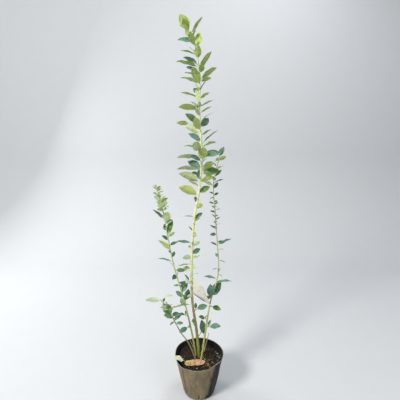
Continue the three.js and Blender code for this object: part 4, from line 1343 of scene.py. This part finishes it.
def make_label():
    """A bare curled sheet with round corners."""
    rows, columns = 56, 40
    t, s = np.meshgrid(np.linspace(0, 1, rows), np.linspace(0, 1, columns), indexing="ij")
    across, along = rounded(s, t), rounded(t, s)
    wave = 0.5 * np.sin(5 * along + 2 * across) + 0.4 * np.sin(9 * across - 4 * along)
    wave += 0.5 * bell(across - 0.42 - 0.3 * along, 0.06)
    # The rolled edge, and the crease before it
    wave += 3.0 * bell(along - 0.96, 0.04) - 2.6 * bell(along - 0.87, 0.03)
    front, back = (label_point(across, along, wave + side * LABEL_THICK / 2) for side in (1, -1))
    label = Heap(slab(front, back)).piece("bare_label", (label_finish(),), "label_card", ("label",), 50)
    hole = label_point(HOLE_ACROSS, HOLE_ALONG)
    cut_holes(label, Heap(tube([hole - LABEL_FACE * 4, hole + LABEL_FACE * 4], HOLE_RADIUS, 28)))


def tie_loop():
    """An oval of coated wire from behind the cane through the label's hole."""
    low = label_point(HOLE_ACROSS, HOLE_ALONG) + (0, 0, HOLE_RADIUS - TIE_RADIUS - 2 * GAP)
    axis = cane_point("centre", TIE_HEIGHT)
    away = unit((low - axis) * (1, 1, 0))
    high = axis - away * (cane_radius("centre", TIE_HEIGHT) + GAP + TIE_RADIUS)
    reach = np.linalg.norm(low - high) / 2
    turn = round_turn(64)
    line = (low + high) / 2 + np.outer(np.cos(turn) * reach, unit(low - high))
    line += np.outer(np.sin(turn) * TIE_HALF_WIDTH, np.cross((0, 0, 1), away))
    body, (quads, kind), _ = tube([*line, line[0]], WIRE_RADIUS, TIE_SIDES)
    whole = len(line) * TIE_SIDES
    return body[:whole], (quads % whole, kind)


def tie_coil():
    """The wire's turns round the cane."""
    line = []
    for share in np.linspace(0, 1, 80):
        height = COIL_HEIGHT + COIL_RISE * share
        out = cane_radius("centre", height) + TIE_RADIUS + 0.1
        line.append(cane_point("centre", height) + out * heading(share * COIL_TURNS * 360, 0))
    return tube(line, WIRE_RADIUS, TIE_SIDES)


def tie_end(points, halves):
    """A loose end: a thin strip, curled along its length."""
    share = np.linspace(0, 1, 14)
    line = along_line(points, share)
    across = np.linspace(-1, 1, 7)
    half = mix(*halves, share) * np.sqrt(np.clip(1.06 - share ** 8, 0, 1))
    side = np.cross(np.gradient(line, axis=0), (0, 1, 0))
    side /= np.linalg.norm(side, axis=1)[:, None]
    sheet = line[:, None] + side[:, None] * half[:, None, None] * across[:, None]
    sheet[..., 1] += 0.8 * across ** 2
    return slab(sheet - (0, 0.25, 0), sheet + (0, 0.25, 0), 1, 1, 1)


def make_tie():
    wire = mottled("tie_wire", 0.5, (3,), None, (178, 184, 96), (214, 216, 150), ((0.6, 0.1),))
    strip = mottled("tie_strip", 0.5, (4,), None, (176, 192, 136), (210, 220, 184), ((1.5, 0.1),))
    ends = (tie_end(*end) for end in TIE_ENDS)
    Heap(tie_loop(), tie_coil(), *ends).piece("label_wire", (wire, strip), "tie", ("label_tie",), 50)


make_label()
make_tie()


# The stage, the light and the camera

# The stage, in metres
FLOOR_START = -3.0
FLOOR_END = 0.9
FLOOR_SIDE = 4.0
FLOOR_DROP = 0.0002
SWEEP_BEND = 0.7
SWEEP_STEPS = 12
SWEEP_TOP = 4.0


def make_stage():
    """A pale floor that sweeps up behind into a pale wall."""
    profile = [(FLOOR_START, 0.0), (FLOOR_END, 0.0)]
    for k in range(1, SWEEP_STEPS + 1):
        a = k / SWEEP_STEPS * math.pi / 2
        profile.append((FLOOR_END + SWEEP_BEND * math.sin(a), SWEEP_BEND * (1 - math.cos(a))))
    profile.append((FLOOR_END + SWEEP_BEND, SWEEP_TOP))
    count = len(profile)
    mesh = bpy.data.meshes.new("sweep")
    mesh.from_pydata(
        [(x, y, z - FLOOR_DROP) for x in (-FLOOR_SIDE, FLOOR_SIDE) for y, z in profile], [],
        [(i + count, i + 1 + count, i + 1, i) for i in range(count - 1)],
    )
    mesh.materials.append(mottled("sweep", 0.9, (60, 2), None, (184, 187, 191), (181, 184, 188), ()))
    mesh.polygons.foreach_set("use_smooth", [True] * len(mesh.polygons))
    sweep = placed("sweep", mesh)


def area_light(name, place, aim, size, power, color=(1, 1, 1)):
    lamp = bpy.data.lights.new(name, "AREA")
    lamp.shape = "DISK"
    lamp.size = size
    lamp.energy = power
    lamp.color = color
    light = placed(name, lamp)
    light.location = place
    light.rotation_euler = (Vector(aim) - Vector(place)).to_track_quat("-Z", "Y").to_euler()


def make_camera():
    lens = bpy.data.cameras.new("camera")
    lens.sensor_width = 36
    lens.lens = 26
    camera = placed("camera", lens)
    camera.location = (0.003, -0.801, 0.760)
    camera.rotation_euler = ((90 - 10.5) * DEG, 0, 0)
    bpy.context.scene.camera = camera


def make_world():
    world = bpy.data.worlds.new("world")
    world.use_nodes = True
    background = world.node_tree.nodes["Background"]
    background.inputs["Color"].default_value = (0.9, 0.95, 1, 1)
    background.inputs["Strength"].default_value = 0.36
    bpy.context.scene.world = world
    bpy.context.scene.view_settings.view_transform = "Standard"


make_stage()
area_light("key", (-1.9, -1.7, 2.5), (0, 0, 0.5), 0.8, 125, (1.0, 0.97, 0.9))
area_light("fill", (1.9, -1.6, 2.2), (0, 0, 0.85), 1.6, 19, (0.92, 0.96, 1.0))
area_light("low", (1.3, -1.5, 0.5), (0, 0, 0.95), 1.0, 4, (1.0, 0.99, 0.94))
area_light("back", (0.7, 0.8, 2.6), (0, 0, 0.6), 1.0, 22)
area_light("rim", (-1.5, 0.9, 1.1), (0, 0, 0.4), 0.7, 16)
make_world()
make_camera()
